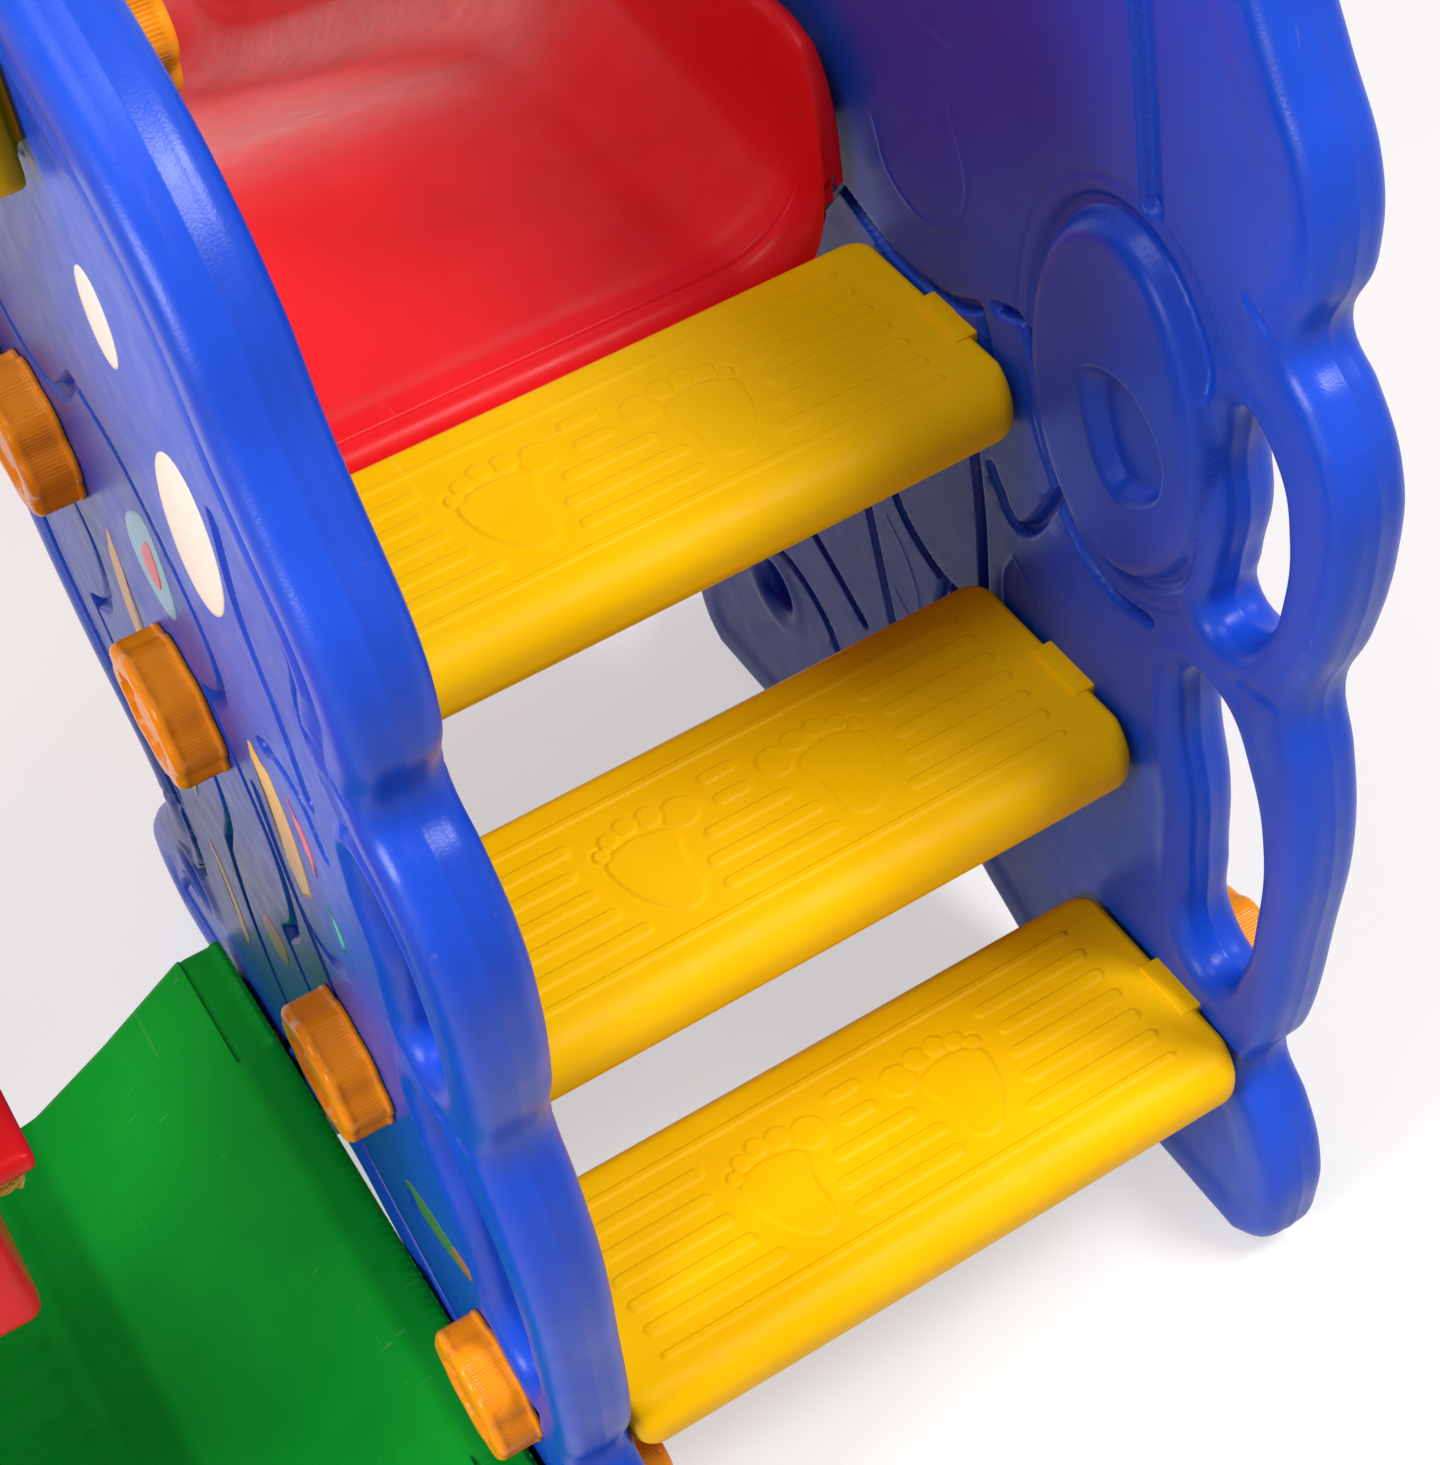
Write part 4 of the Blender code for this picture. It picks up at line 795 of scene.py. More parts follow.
BAR_PITCH = 0.01542
BAR_HALF = 0.0041
RIB_HALF = 0.0026
RIB_FRONT = -0.0925
RIB_END = 0.152
SIDE_BARS_FROM = (0.0819, 0.0864, 0.0835, 0.0796, 0.0714)
SIDE_BARS_TO = 0.1526
MIDDLE_BARS = (0.0109, 0.0109, 0.0249, 0.0323, 0.0327)
TOES = (
    (-0.0270, -0.0264, 0.0103), (-0.0415, -0.0203, 0.0073), (-0.0540, -0.0192, 0.0066),
    (-0.0646, -0.0224, 0.0058), (-0.0719, -0.0284, 0.0049),
)
SOLE = (
    (-0.0345, -0.0335), (-0.0345, -0.0400), (-0.0378, -0.0490), (-0.0386, -0.0590),
    (-0.0385, -0.0690), (-0.0425, -0.0770), (-0.0510, -0.0800), (-0.0592, -0.0748),
    (-0.0665, -0.0655), (-0.0712, -0.0555), (-0.0738, -0.0440), (-0.0735, -0.0355),
    (-0.0685, -0.0300), (-0.0570, -0.0272), (-0.0460, -0.0285), (-0.0385, -0.0310),
)
RELIEF_RISE = 0.0010
MOAT_DEPTH = 0.0008
MOAT_HALF = 0.0008
TREAD_ROW = 0.0010
TREAD_COLUMN = 0.00095
STEP_SAG = 0.0006


def capsule(x, y, start, end, level, half):
    """Signed distance to a bar along x, negative inside."""
    along = np.clip(x, start + half, end - half)
    return np.hypot(x - along, y - level) - half


def closed_curve(points, steps=8):
    points = np.array(points, float)
    rolled = np.vstack([points[-1:], points, points[:2]])
    return curved(rolled, steps)[steps:-steps - 1]


def signed_to_loop(x, y, loop):
    """Signed distance to a closed loop, negative inside, measured only near it."""
    flat = np.column_stack([x.ravel(), y.ravel()])
    near = (flat > loop.min(0) - 0.006).all(1) & (flat < loop.max(0) + 0.006).all(1)
    result = np.full(len(flat), 0.05)
    chosen = flat[near]
    away = polyline_distance(chosen, np.vstack([loop, loop[:1]]))
    result[near] = np.where(inside(chosen, loop), -away, away)
    return result.reshape(x.shape)


def bell(distance, half):
    """A soft ridge of height 1 that fades out on both sides."""
    return np.exp(-(distance / half) ** 2)


def raised(distance, rise=RELIEF_RISE, edge=0.0011):
    """A low pad with a soft shoulder and a fine moat round it."""
    pad = rise * (1 - smooth_step(-edge, 0.0, distance))
    return pad - MOAT_DEPTH * bell(distance - MOAT_HALF, MOAT_HALF)


def tread_relief(x, y):
    """Height of the tread pattern at points measured from the step's middle and back rib."""
    side = np.abs(x)
    nearest = capsule(side, y, -0.2, RIB_END, 0.0, RIB_HALF)
    nearest = np.minimum(nearest, capsule(side, y, -0.2, RIB_END, RIB_FRONT, RIB_HALF))
    for number, (start, half) in enumerate(zip(SIDE_BARS_FROM, MIDDLE_BARS)):
        level = -BAR_PITCH * (number + 1)
        nearest = np.minimum(nearest, capsule(side, y, start, SIDE_BARS_TO, level, BAR_HALF))
        nearest = np.minimum(nearest, capsule(side, y, -half, half, level, BAR_HALF))
    relief = raised(nearest)
    sole = signed_to_loop(-side, y, closed_curve(SOLE))
    relief = relief + raised(sole)
    for u, v, radius in TOES:
        toe = np.hypot(-side - u, y - v) - radius
        relief = np.maximum(relief, raised(toe)) - MOAT_DEPTH * 0.8 * bell(toe, MOAT_HALF)
    return relief


def step_profile():
    """Closed (y, z) loop of a step with the tread from back to front first, and the tread's count."""
    back = STEP_BACK - BACK_ROUND
    front = STEP_BACK - STEP_DEPTH + NOSE_ROUND
    lines = {back, front}
    for level in [0.0, RIB_FRONT] + [-BAR_PITCH * k for k in range(1, 6)]:
        half = RIB_HALF if level in (0.0, RIB_FRONT) else BAR_HALF
        for offset in (0.0, half - 0.0014, half - 0.0007, half, half + 0.0006, half + 0.0014, half * 0.4):
            lines.update((level + offset, level - offset))
    fill = np.arange(front, back, TREAD_ROW)
    known = np.array(sorted(lines))
    fill = fill[np.abs(fill[:, None] - known[None]).min(1) > 0.0005]
    levels = np.array(sorted(set(known) | set(fill)))[::-1]
    levels = levels[(levels <= back + 1e-9) & (levels >= front - 1e-9)]
    tread = [(y, 0.0) for y in levels]

    def arc(centre, radius, start, end, steps):
        angles = np.linspace(radians(start), radians(end), steps + 1)[1:]
        return [(centre[0] + radius * cos(a), centre[1] + radius * sin(a)) for a in angles]

    loop = list(tread)
    loop += arc((front, -NOSE_ROUND), NOSE_ROUND, 90, 180, 12)
    loop += arc((front, -STEP_THICK + NOSE_ROUND), NOSE_ROUND, 180, 270, 12)
    loop += [(y, -STEP_THICK) for y in np.linspace(front, back, 14)[1:]]
    loop += arc((back, -STEP_THICK + BACK_ROUND), BACK_ROUND, -90, 0, 6)
    loop += arc((back, -BACK_ROUND), BACK_ROUND, 0, 90, 6)[:-1]
    return np.array(loop), len(tread)


def step(name, index):
    """A step as rings across its width, thinned at both ends and rounded at its corners."""
    loop, tread_count = step_profile()
    following = np.roll(loop, -1, 0) - np.roll(loop, 1, 0)
    following /= np.hypot(*following.T)[:, None]
    outward = np.stack([following[:, 1], -following[:, 0]], 1)
    if signed_area(loop) < 0:
        outward = -outward
    straight = np.arange(-STEP_HALF + END_ROUND, STEP_HALF - END_ROUND + 1e-9, TREAD_COLUMN)
    turns = np.linspace(pi / 2, 0, 6)[:-1]
    columns = [(END_ROUND * (1 - sin(a)) - STEP_HALF, END_ROUND * (1 - cos(a))) for a in turns]
    columns += [(x, 0.0) for x in np.append(straight, STEP_HALF - END_ROUND)]
    columns += [(-x, shrink) for x, shrink in reversed(columns[:5])]
    y0 = index * STEP_RUN
    tread = FIRST_TREAD + index * STEP_RISE
    rows = []
    for x, shrink in columns:
        ring = loop - outward * shrink
        height = ring[:, 1].copy()
        if abs(x) < STEP_HALF - END_ROUND:
            xs = np.full(tread_count, x)
            height[:tread_count] += tread_relief(xs, ring[:tread_count, 0])
        sag = STEP_SAG * np.sin(np.clip((x + STEP_HALF) / (2 * STEP_HALF), 0, 1) * pi)
        height = height - sag * (height < -0.001)
        to_end = max(STEP_HALF - abs(x), 0.0)
        pull = CORNER_ROUND - sqrt(CORNER_ROUND ** 2 - max(CORNER_ROUND - to_end, 0.0) ** 2)
        across = (ring[:, 0] - (STEP_BACK - STEP_DEPTH / 2)) / (STEP_DEPTH / 2)
        level = ring[:, 0] - pull * np.sign(across) * smooth_step(0.55, 1.0, np.abs(across))
        rows.append(np.column_stack([np.full(len(ring), x), level + y0, height + tread]))
    return recalculated(mesh_piece(name + "_tread", np.vstack(rows), capped(len(rows), len(loop)), YELLOW))


def rounded_box(name, low, high, radius, finish, segments=3, carried=ORIGIN):
    made = bmesh.new()
    bmesh.ops.create_cube(made, size=1.0)
    bmesh.ops.scale(made, vec=Vector(high) - Vector(low), verts=made.verts)
    bmesh.ops.translate(made, vec=(Vector(high) + Vector(low)) / 2 + Vector(carried), verts=made.verts)
    bmesh.ops.bevel(made, geom=made.edges, offset=radius, segments=segments, profile=0.5, affect="EDGES")
    mesh = bpy.data.meshes.new(name)
    made.to_mesh(mesh)
    made.free()
    mesh.shade_smooth()
    mesh.set_sharp_from_angle(angle=radians(40))
    mesh.materials.append(finish)
    return linked(name, mesh)


for index, level in enumerate(("bottom", "middle", "top")):
    stands_for(step(f"{level}_step", index), f"{level}_step")
    for side, end in ((-1, "left"), (1, "right")):
        near, far = sorted((side * (STEP_HALF - TAB_OVERLAP), side * (PANEL_INNER + TAB_REACH)))
        back = index * STEP_RUN + TAB_BACK
        tread = FIRST_TREAD + index * STEP_RISE
        low = (near, back - TAB_LENGTH, tread - TAB_BELOW)
        tab = rounded_box(f"{level}_step_{end}_tab", low, (far, back, tread + TAB_ABOVE), TAB_ROUND, YELLOW)
        part_of(tab)


# Knobs: lobed heads with finely ribbed flanks and a dished front

KNOB_LOBES = 8
KNOB_DIP = 0.0030
KNOB_ROUND = 0.0045
RIB_COUNT = 128
RIB_DEPTH = 0.0006
FLANK = 0.985
# Rings of a head as (height, share of the lobed outline), then as (depth under the front, share)
KNOB_SKIRT = ((0.0, 0.30), (0.0, 0.92), (0.0, 0.975), (0.0005, 1.0), (0.0025, 1.0), (0.0032, FLANK))
KNOB_DISH = ((0.0, 0.72), (0.0, 0.68), (0.0006, 0.655), (0.0026, 0.63), (0.0032, 0.60))
KNOB_BOSS = (
    (0.0034, 0.46), (0.0034, 0.36), (0.0030, 0.345), (0.0016, 0.325), (0.0012, 0.30), (0.0012, 0.12),
    (0.0012, 0.02),
)


def knob(name, base, inward, node):
    """A knob whose base sits at local x and whose front points away from inward."""
    count = RIB_COUNT * 3
    angles = around(count)
    lobe = KNOB_DIP * (0.5 - 0.5 * np.cos(KNOB_LOBES * angles)) ** 1.6
    flank = smooth_step(0.10, 0.42, np.abs(np.sin(KNOB_LOBES * angles / 2)))
    ribs = RIB_DEPTH * (0.5 - 0.5 * np.cos(RIB_COUNT * angles)) * flank
    outline = KNOB_RADIUS - lobe
    flat = outline * FLANK
    top = KNOB_LENGTH
    rows = [(level, outline * share) for level, share in KNOB_SKIRT]
    rows += [(level, flat - ribs) for level in np.linspace(0.0040, top - 0.0055, 7)]
    rows.append((top - 0.0050, flat - ribs * 0.4))
    for angle in np.linspace(0, pi / 2, 7)[1:]:
        push = KNOB_ROUND * (1 - cos(angle))
        rows.append((top - KNOB_ROUND + KNOB_ROUND * sin(angle), flat - push))
    rows += [(top - sunk, outline * share) for sunk, share in KNOB_DISH]
    rows += [(top - sunk, KNOB_RADIUS * share * np.ones(count)) for sunk, share in KNOB_BOSS]
    rings = []
    for level, radius in rows:
        ring = (np.full(count, -inward * level), radius * np.cos(angles), radius * np.sin(angles))
        rings.append(np.column_stack(ring) + np.array(base))
    obj = recalculated(mesh_piece(name, np.vstack(rings), capped(len(rings), count), ORANGE))
    return stands_for(obj, node)


def axis_of(node):
    """Middle of a CAD node across its axis, in the local frame."""
    low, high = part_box(node)
    return (low.y + high.y) / 2 - ORIGIN.y, (low.z + high.z) / 2


KNOBS = []
for level in ("bottom", "middle", "top"):
    KNOBS += [(f"left_{level}_step_knob", -KNOB_BASE, 1), (f"right_{level}_step_knob", KNOB_BASE, -1)]
for spot in ("rear", "front"):
    KNOBS += [(f"left_slide_{spot}_knob", -KNOB_BASE, 1), (f"right_slide_{spot}_knob", KNOB_BASE, -1)]
    KNOBS += [
        (f"base_inner_{spot}_knob", -PANEL_INNER - KNOB_SUNK, -1),
        (f"base_outer_{spot}_knob", SUPPORT_OUTER + KNOB_SUNK, 1),
    ]
KNOBS += [
    ("beam_inner_knob", -PANEL_INNER - KNOB_SUNK, -1),
    ("beam_outer_knob", SUPPORT_OUTER + KNOB_SUNK, 1),
]
for node, x, inward in KNOBS:
    y, z = axis_of(node)
    knob(node + "_head", (x, y, z), inward, node)


# Side panels

EDGE_RADIUS = 0.012
RIM_VALLEY = 0.030
HOLLOW_Z = 0.700
RIM_GROOVE = 0.0465
RIM_GROOVE_HALF = 0.0038
RIM_DEPTH = 0.0050
RIM_VALLEY_DEPTH = 0.0030
RIM_VALLEY_HALF = 0.0052
RIM_STEP = 0.0012
HOLLOW_HALF = 0.055
HOLLOW_EXTRA = 1.1
WEB_DROP = 0.003
INNER_WEB_DROP = 0.0016
TONGUE_DEPTH = 0.0060
# Depths from an edge between which something fades in
CREASE_FADE = (0.004, 0.014)
RIM_FROM_HOLE = (0.010, 0.017)
INNER_FROM_HOLE = (0.012, 0.020)
INNER_WEB_FADE = (0.022, 0.036)
OUTER_WEB_FADE = (0.052, 0.060)
OUTER_FROM_HOLE = (0.014, 0.022)
GROOVE_FADE = (0.016, 0.024)
PAD_CLEAR = (0.004, 0.009)
PAD_MOAT_FADE = (0.008, 0.014)
PAD_RING_FADE = (0.012, 0.020)
LINE_RISE = 0.0007
LINE_HALF = 0.0009
PAD_MOAT = 0.0045
PAD_MOAT_HALF = 0.0060
PAD_MOAT_DEPTH = 0.0034
PAD_RING = 0.017
PAD_RING_HALF = 0.0012
GROOVE_HALF = 0.0046
GROOVE_DEPTH = 0.0072
CREASE_HALF = 0.0038
CREASE_DEPTH = 0.0018
RING_DEPTHS = (
    0.0004, 0.0016, 0.0035, 0.0060, 0.0089, 0.0120, 0.0160, 0.0205, 0.0245, 0.0275, 0.0300, 0.0325,
    0.0360, 0.0400, 0.0425, 0.0438, 0.0452, 0.0465, 0.0478, 0.0492, 0.0505, 0.0530,
)

# Recessed lines of each face as open curves in (y, z)
INNER_GROOVES = (
    ((0.318, 0.236), (0.276, 0.214), (0.236, 0.188)),
    ((0.352, 0.172), (0.312, 0.168), (0.282, 0.152), (0.262, 0.122)),
    ((0.232, 0.330), (0.216, 0.262), (0.200, 0.196)),
    ((0.206, 0.342), (0.184, 0.312), (0.150, 0.296), (0.110, 0.300)),
    ((0.120, 0.424), (0.114, 0.372), (0.112, 0.310), (0.104, 0.250), (0.092, 0.190)),
    ((0.150, 0.296), (0.160, 0.240), (0.150, 0.180), (0.128, 0.130)),
    ((0.232, 0.506), (0.186, 0.492), (0.140, 0.494), (0.112, 0.506)),
    ((0.112, 0.506), (0.104, 0.478), (0.108, 0.446), (0.120, 0.424)),
    ((0.098, 0.516), (0.078, 0.520), (0.068, 0.496), (0.058, 0.462), (0.050, 0.436)),
    ((0.104, 0.412), (0.086, 0.390), (0.070, 0.398), (0.050, 0.436)),
    ((0.050, 0.436), (0.030, 0.414), (0.004, 0.406), (-0.020, 0.410)),
    ((0.232, 0.506), (0.262, 0.470), (0.300, 0.452), (0.350, 0.452)),
    ((0.080, 0.792), (0.122, 0.742), (0.190, 0.716), (0.262, 0.722), (0.312, 0.756)),
    ((0.190, 0.716), (0.204, 0.652), (0.252, 0.606), (0.318, 0.592), (0.366, 0.616)),
    ((0.300, 0.452), (0.296, 0.392), (0.322, 0.340), (0.366, 0.316)),
)
INNER_LINES = (
    ((0.196, 0.566), (0.184, 0.540), (0.156, 0.530), (0.130, 0.544), (0.120, 0.572), (0.132, 0.606)),
    ((0.205, 0.300), (0.186, 0.282), (0.176, 0.256), (0.184, 0.236), (0.200, 0.246)),
    (
        (0.086, 0.366), (0.070, 0.350), (0.066, 0.322), (0.078, 0.304), (0.092, 0.318), (0.094, 0.346),
        (0.086, 0.366),
    ),
    ((0.330, 0.268), (0.312, 0.300), (0.282, 0.322), (0.250, 0.330)),
)
TONGUE = ((0.004, 0.742), (-0.004, 0.690), (-0.010, 0.640))
TONGUE_HALF = 0.0075
CREASES = (
    ((-0.104, 0.622), (-0.086, 0.626), (-0.070, 0.634)),
    ((-0.124, 0.434), (-0.104, 0.432), (-0.084, 0.426)),
    ((-0.118, 0.148), (-0.096, 0.152), (-0.074, 0.162)),
    ((0.394, 0.708), (0.360, 0.706), (0.334, 0.700)),
    ((0.404, 0.492), (0.376, 0.490), (0.352, 0.486)),
    ((0.352, 0.214), (0.326, 0.222), (0.304, 0.234)),
    ((0.284, 0.852), (0.274, 0.824), (0.268, 0.802)),
)
OUTER_GROOVES = (
    ((-0.012, 0.700), (-0.004, 0.646), (-0.014, 0.596), (-0.018, 0.556)),
    ((0.160, 0.640), (0.120, 0.628), (0.092, 0.600), (0.072, 0.560), (0.082, 0.524), (0.112, 0.500)),
    ((0.112, 0.500), (0.096, 0.458), (0.086, 0.410), (0.098, 0.352), (0.128, 0.312)),
    ((0.034, 0.540), (0.020, 0.548), (-0.004, 0.544), (-0.014, 0.520)),
    ((0.078, 0.470), (0.070, 0.400), (0.046, 0.388), (0.020, 0.404)),
    ((0.176, 0.470), (0.166, 0.420), (0.168, 0.366), (0.196, 0.312)),
    ((0.070, 0.400), (0.058, 0.330), (0.064, 0.270), (0.086, 0.220)),
    ((0.128, 0.312), (0.116, 0.262), (0.122, 0.210), (0.140, 0.160)),
    ((0.196, 0.312), (0.206, 0.250), (0.204, 0.190), (0.190, 0.140)),
    ((0.300, 0.520), (0.262, 0.470), (0.284, 0.410), (0.330, 0.372)),
    ((0.330, 0.372), (0.310, 0.310), (0.296, 0.250), (0.312, 0.206)),
    ((0.160, 0.640), (0.206, 0.602), (0.250, 0.600), (0.298, 0.636), (0.330, 0.650)),
    ((0.096, 0.790), (0.152, 0.770), (0.214, 0.776), (0.270, 0.792)),
    ((0.034, 0.150), (0.046, 0.170), (0.040, 0.196)),
)


def line_field(points, grooves):
    best = np.full(len(points), 1.0)
    for line in grooves:
        best = np.minimum(best, polyline_distance(points, curved(line)))
    return best


def ellipse_distance(points, centre, halves):
    """Near the edge of an ellipse, about the signed distance to it."""
    scaled = (points - np.array(centre)) / np.array(halves)
    radius = np.hypot(*scaled.T)
    gradient = np.hypot(*(scaled / np.array(halves)).T) / np.maximum(radius, 1e-6)
    return (radius - 1) / np.maximum(gradient, 1e-6)


def box_distance(points, low, high, corner):
    """Signed distance to a rounded rectangle."""
    centre = (np.array(low) + np.array(high)) / 2
    half = (np.array(high) - np.array(low)) / 2 - corner
    away = np.abs(points - centre) - half
    return np.hypot(*np.maximum(away, 0).T) + np.minimum(away.max(1), 0) - corner


def trench(distance, half, depth, shoulder=0.35):
    """A flat-bottomed groove; shoulder is the share of its half width before its wall rises."""
    return depth * (1 - smooth_step(half * shoulder, half, np.abs(distance)))


def creases(plan):
    """Depth of the short folds that run inwards from the hollows between the lobes."""
    folds = trench(line_field(plan.points, CREASES), CREASE_HALF, CREASE_DEPTH, 0.1)
    return folds * smooth_step(*CREASE_FADE, plan.edge)


def rim(plan, half, web_drop):
    """Face height from the rounded edge over two rolls of the rim and down to the web."""
    height = rounding(plan.edge, EDGE_RADIUS, half)
    clear_of_holes = smooth_step(*RIM_FROM_HOLE, plan.hole_edge)
    depth = plan.outer_edge
    hollow = 1 + HOLLOW_EXTRA * np.exp(-((plan.points[:, 1] - HOLLOW_Z) / HOLLOW_HALF) ** 4)
    valley = RIM_VALLEY_DEPTH * hollow * bell(depth - RIM_VALLEY, RIM_VALLEY_HALF)
    second = RIM_STEP * smooth_step(RIM_VALLEY - 0.002, RIM_VALLEY + 0.006, depth)
    groove = trench(depth - RIM_GROOVE, RIM_GROOVE_HALF, RIM_DEPTH)
    web = (web_drop - RIM_STEP) * smooth_step(RIM_GROOVE, RIM_GROOVE + 0.006, depth)
    return height - (valley + second + groove + web) * clear_of_holes - creases(plan)


def panel_plan():
    outer = loop_points(REAR_EDGE + FRONT_EDGE + ARCH_EDGE, 0.0035)
    holes = [loop_points(loop, 0.0030) for loop in (UPPER_GRIP, LOWER_GRIP, FOOT_HOLE)]

    def detail(points):
        near = line_field(points, INNER_GROOVES + INNER_LINES + OUTER_GROOVES + CREASES) < 0.0064
        near |= np.abs(line_field(points, (TONGUE,)) - TONGUE_HALF) < 0.004
        pad = ellipse_distance(points, PAD_CENTRE, PAD_HALVES)
        near |= (pad > -0.012) & (pad < 0.021)
        near |= np.hypot(*(points - POCKET.mean(0)).T) < 0.045
        return near

    return Plan(outer, holes, RING_DEPTHS, detail)


PAD_RISE = 0.008
PAD_ROUND = 0.011
POCKET_DEPTH = 0.0080
POCKET_WALL = 0.0026
POCKET_SLOPE = 0.010
POCKET = closed_curve((
    (0.024, 0.530), (0.016, 0.546), (-0.008, 0.550), (-0.028, 0.538), (-0.036, 0.516),
    (-0.028, 0.494), (-0.006, 0.480), (0.012, 0.494),
))


def pocket_depth(points):
    """Depth of the pad's pocket: a steep wall at its rear and a long sloped one at its front."""
    inward = -signed_to_loop(points[:, 0], points[:, 1], POCKET)
    lean = smooth_step(-0.012, 0.020, points[:, 0]) + smooth_step(0.505, 0.485, points[:, 1])
    return POCKET_DEPTH * smooth_step(0.0, POCKET_WALL + POCKET_SLOPE * np.clip(lean, 0, 1), inward)


def inner_face(plan):
    """The face towards the steps: grooves, fine lines, and the raised pad with its pocket."""
    points = plan.points
    half = PANEL_THICK / 2
    height = rounding(plan.edge, EDGE_RADIUS, half)
    clear_of_holes = smooth_step(*INNER_FROM_HOLE, plan.hole_edge)
    height = height - INNER_WEB_DROP * smooth_step(*INNER_WEB_FADE, plan.outer_edge) * clear_of_holes
    height = height - creases(plan)
    pad = ellipse_distance(points, PAD_CENTRE, PAD_HALVES)
    off_pad = smooth_step(*PAD_CLEAR, pad)
    fade = smooth_step(*GROOVE_FADE, plan.edge) * off_pad
    height = height - trench(line_field(points, INNER_GROOVES), GROOVE_HALF, GROOVE_DEPTH) * fade
    height = height - trench(line_field(points, (TONGUE,)), TONGUE_HALF, TONGUE_DEPTH, 0.6) * fade
    height = height + LINE_RISE * bell(line_field(points, INNER_LINES), LINE_HALF) * fade
    in_pad = np.clip(-pad, 0.0, PAD_ROUND) / PAD_ROUND
    on_pad = np.sqrt(in_pad * (2 - in_pad))
    height = height * (1 - on_pad) + (half + PAD_RISE) * on_pad
    moat = trench(pad - PAD_MOAT, PAD_MOAT_HALF, PAD_MOAT_DEPTH, 0.2)
    height = height - moat * smooth_step(*PAD_MOAT_FADE, plan.edge)
    ring = LINE_RISE * bell(pad - PAD_RING, PAD_RING_HALF)
    height = height - ring * smooth_step(*PAD_RING_FADE, plan.edge)
    return height - pocket_depth(points)


def outer_face(plan):
    """The face away from the steps: a deep rim and a web with recessed lines."""
    points = plan.points
    half = PANEL_THICK / 2
    height = rim(plan, half, WEB_DROP)
    fade = smooth_step(*OUTER_WEB_FADE, plan.outer_edge) * smooth_step(*OUTER_FROM_HOLE, plan.hole_edge)
    return height - trench(line_field(points, OUTER_GROOVES), GROOVE_HALF, GROOVE_DEPTH * 0.8) * fade


PANEL_PLAN = panel_plan()
INNER = inner_face(PANEL_PLAN)
OUTER = outer_face(PANEL_PLAN)
middle = PANEL_INNER + PANEL_THICK / 2
right = moulded("right_panel_shell", PANEL_PLAN, OUTER, INNER, BLUE, middle)
stands_for(right, "right_side_panel")
left = moulded("left_panel_shell", PANEL_PLAN, INNER, OUTER, BLUE, -middle)
stands_for(left, "left_side_panel")

# Printed shapes on the left panel's outer face: plain ovals, ribbons and leaves


class Spot:
    """Points on a panel's face with their distances to its edges."""

    def __init__(self, points):
        self.points = points
        self.edge = distances(points, PANEL_PLAN.edge_targets)
        self.outer_edge = distances(points, PANEL_PLAN.outer_targets)
        self.hole_edge = distances(points, PANEL_PLAN.hole_targets)


def oval(centre, halves, tilt=0.0, pinch=0.0, count=64):
    """An oval whose one end may be pinched towards a drop."""
    angles = np.arange(count) * 2 * pi / count
    u = halves[0] * np.cos(angles) * (1 - pinch * np.sin(angles))
    v = halves[1] * np.sin(angles)
    turn = radians(tilt)
    return np.column_stack([
        centre[0] + u * cos(turn) - v * sin(turn), centre[1] + u * sin(turn) + v * cos(turn),
    ])


def ribbon(line, half, ends=0.15):
    """A band along a curved line, narrowed towards both ends."""
    route = curved(line, 12)
    run = np.gradient(route, axis=0)
    run /= np.hypot(*run.T)[:, None]
    share = np.linspace(0, 1, len(route))
    width = half * np.minimum(1.0, np.minimum(share, 1 - share) / ends + 0.12)
    side = np.column_stack([-run[:, 1], run[:, 0]]) * width[:, None]
    return np.vstack([route + side, (route - side)[::-1]])


# Height of a print over the face, of one over another print, and how deep its underside lies
INK = 0.00025
OVERPRINT = 0.00045
INK_BURIED = 0.0004
PRINT_PITCH = 0.0022


def printed(name, loop, finish, lift):
    """A thin film that follows the panel's face."""
    low = loop.min(0)
    high = loop.max(0)
    rows = np.arange(low[1], high[1], PRINT_PITCH)
    grid = np.stack(np.meshgrid(np.arange(low[0], high[0], PRINT_PITCH), rows), -1).reshape(-1, 2)
    grid = grid[inside(grid, loop)]
    if len(grid):
        grid = grid[distances(grid, dense([loop], 0.0005)) > PRINT_PITCH * 0.5]
    flat, triangles, rim_of = triangulated(np.vstack([loop, grid]), [loop], 1)
    height = outer_face(Spot(flat))
    film = np.vstack([np.column_stack([flat, height + lift]), np.column_stack([flat, height - INK_BURIED])])
    total = len(flat)
    faces = triangles + [(a + total, c + total, b + total) for a, b, c in triangles]
    for k in range(len(loop)):
        a = rim_of[k]
        b = rim_of[(k + 1) % len(loop)]
        if a != b:
            faces.append((a, a + total, b + total, b))
    outward = np.column_stack([-middle - film[:, 2], film[:, 0], film[:, 1]])
    part_of(recalculated(mesh_piece(name, outward, faces, finish)))


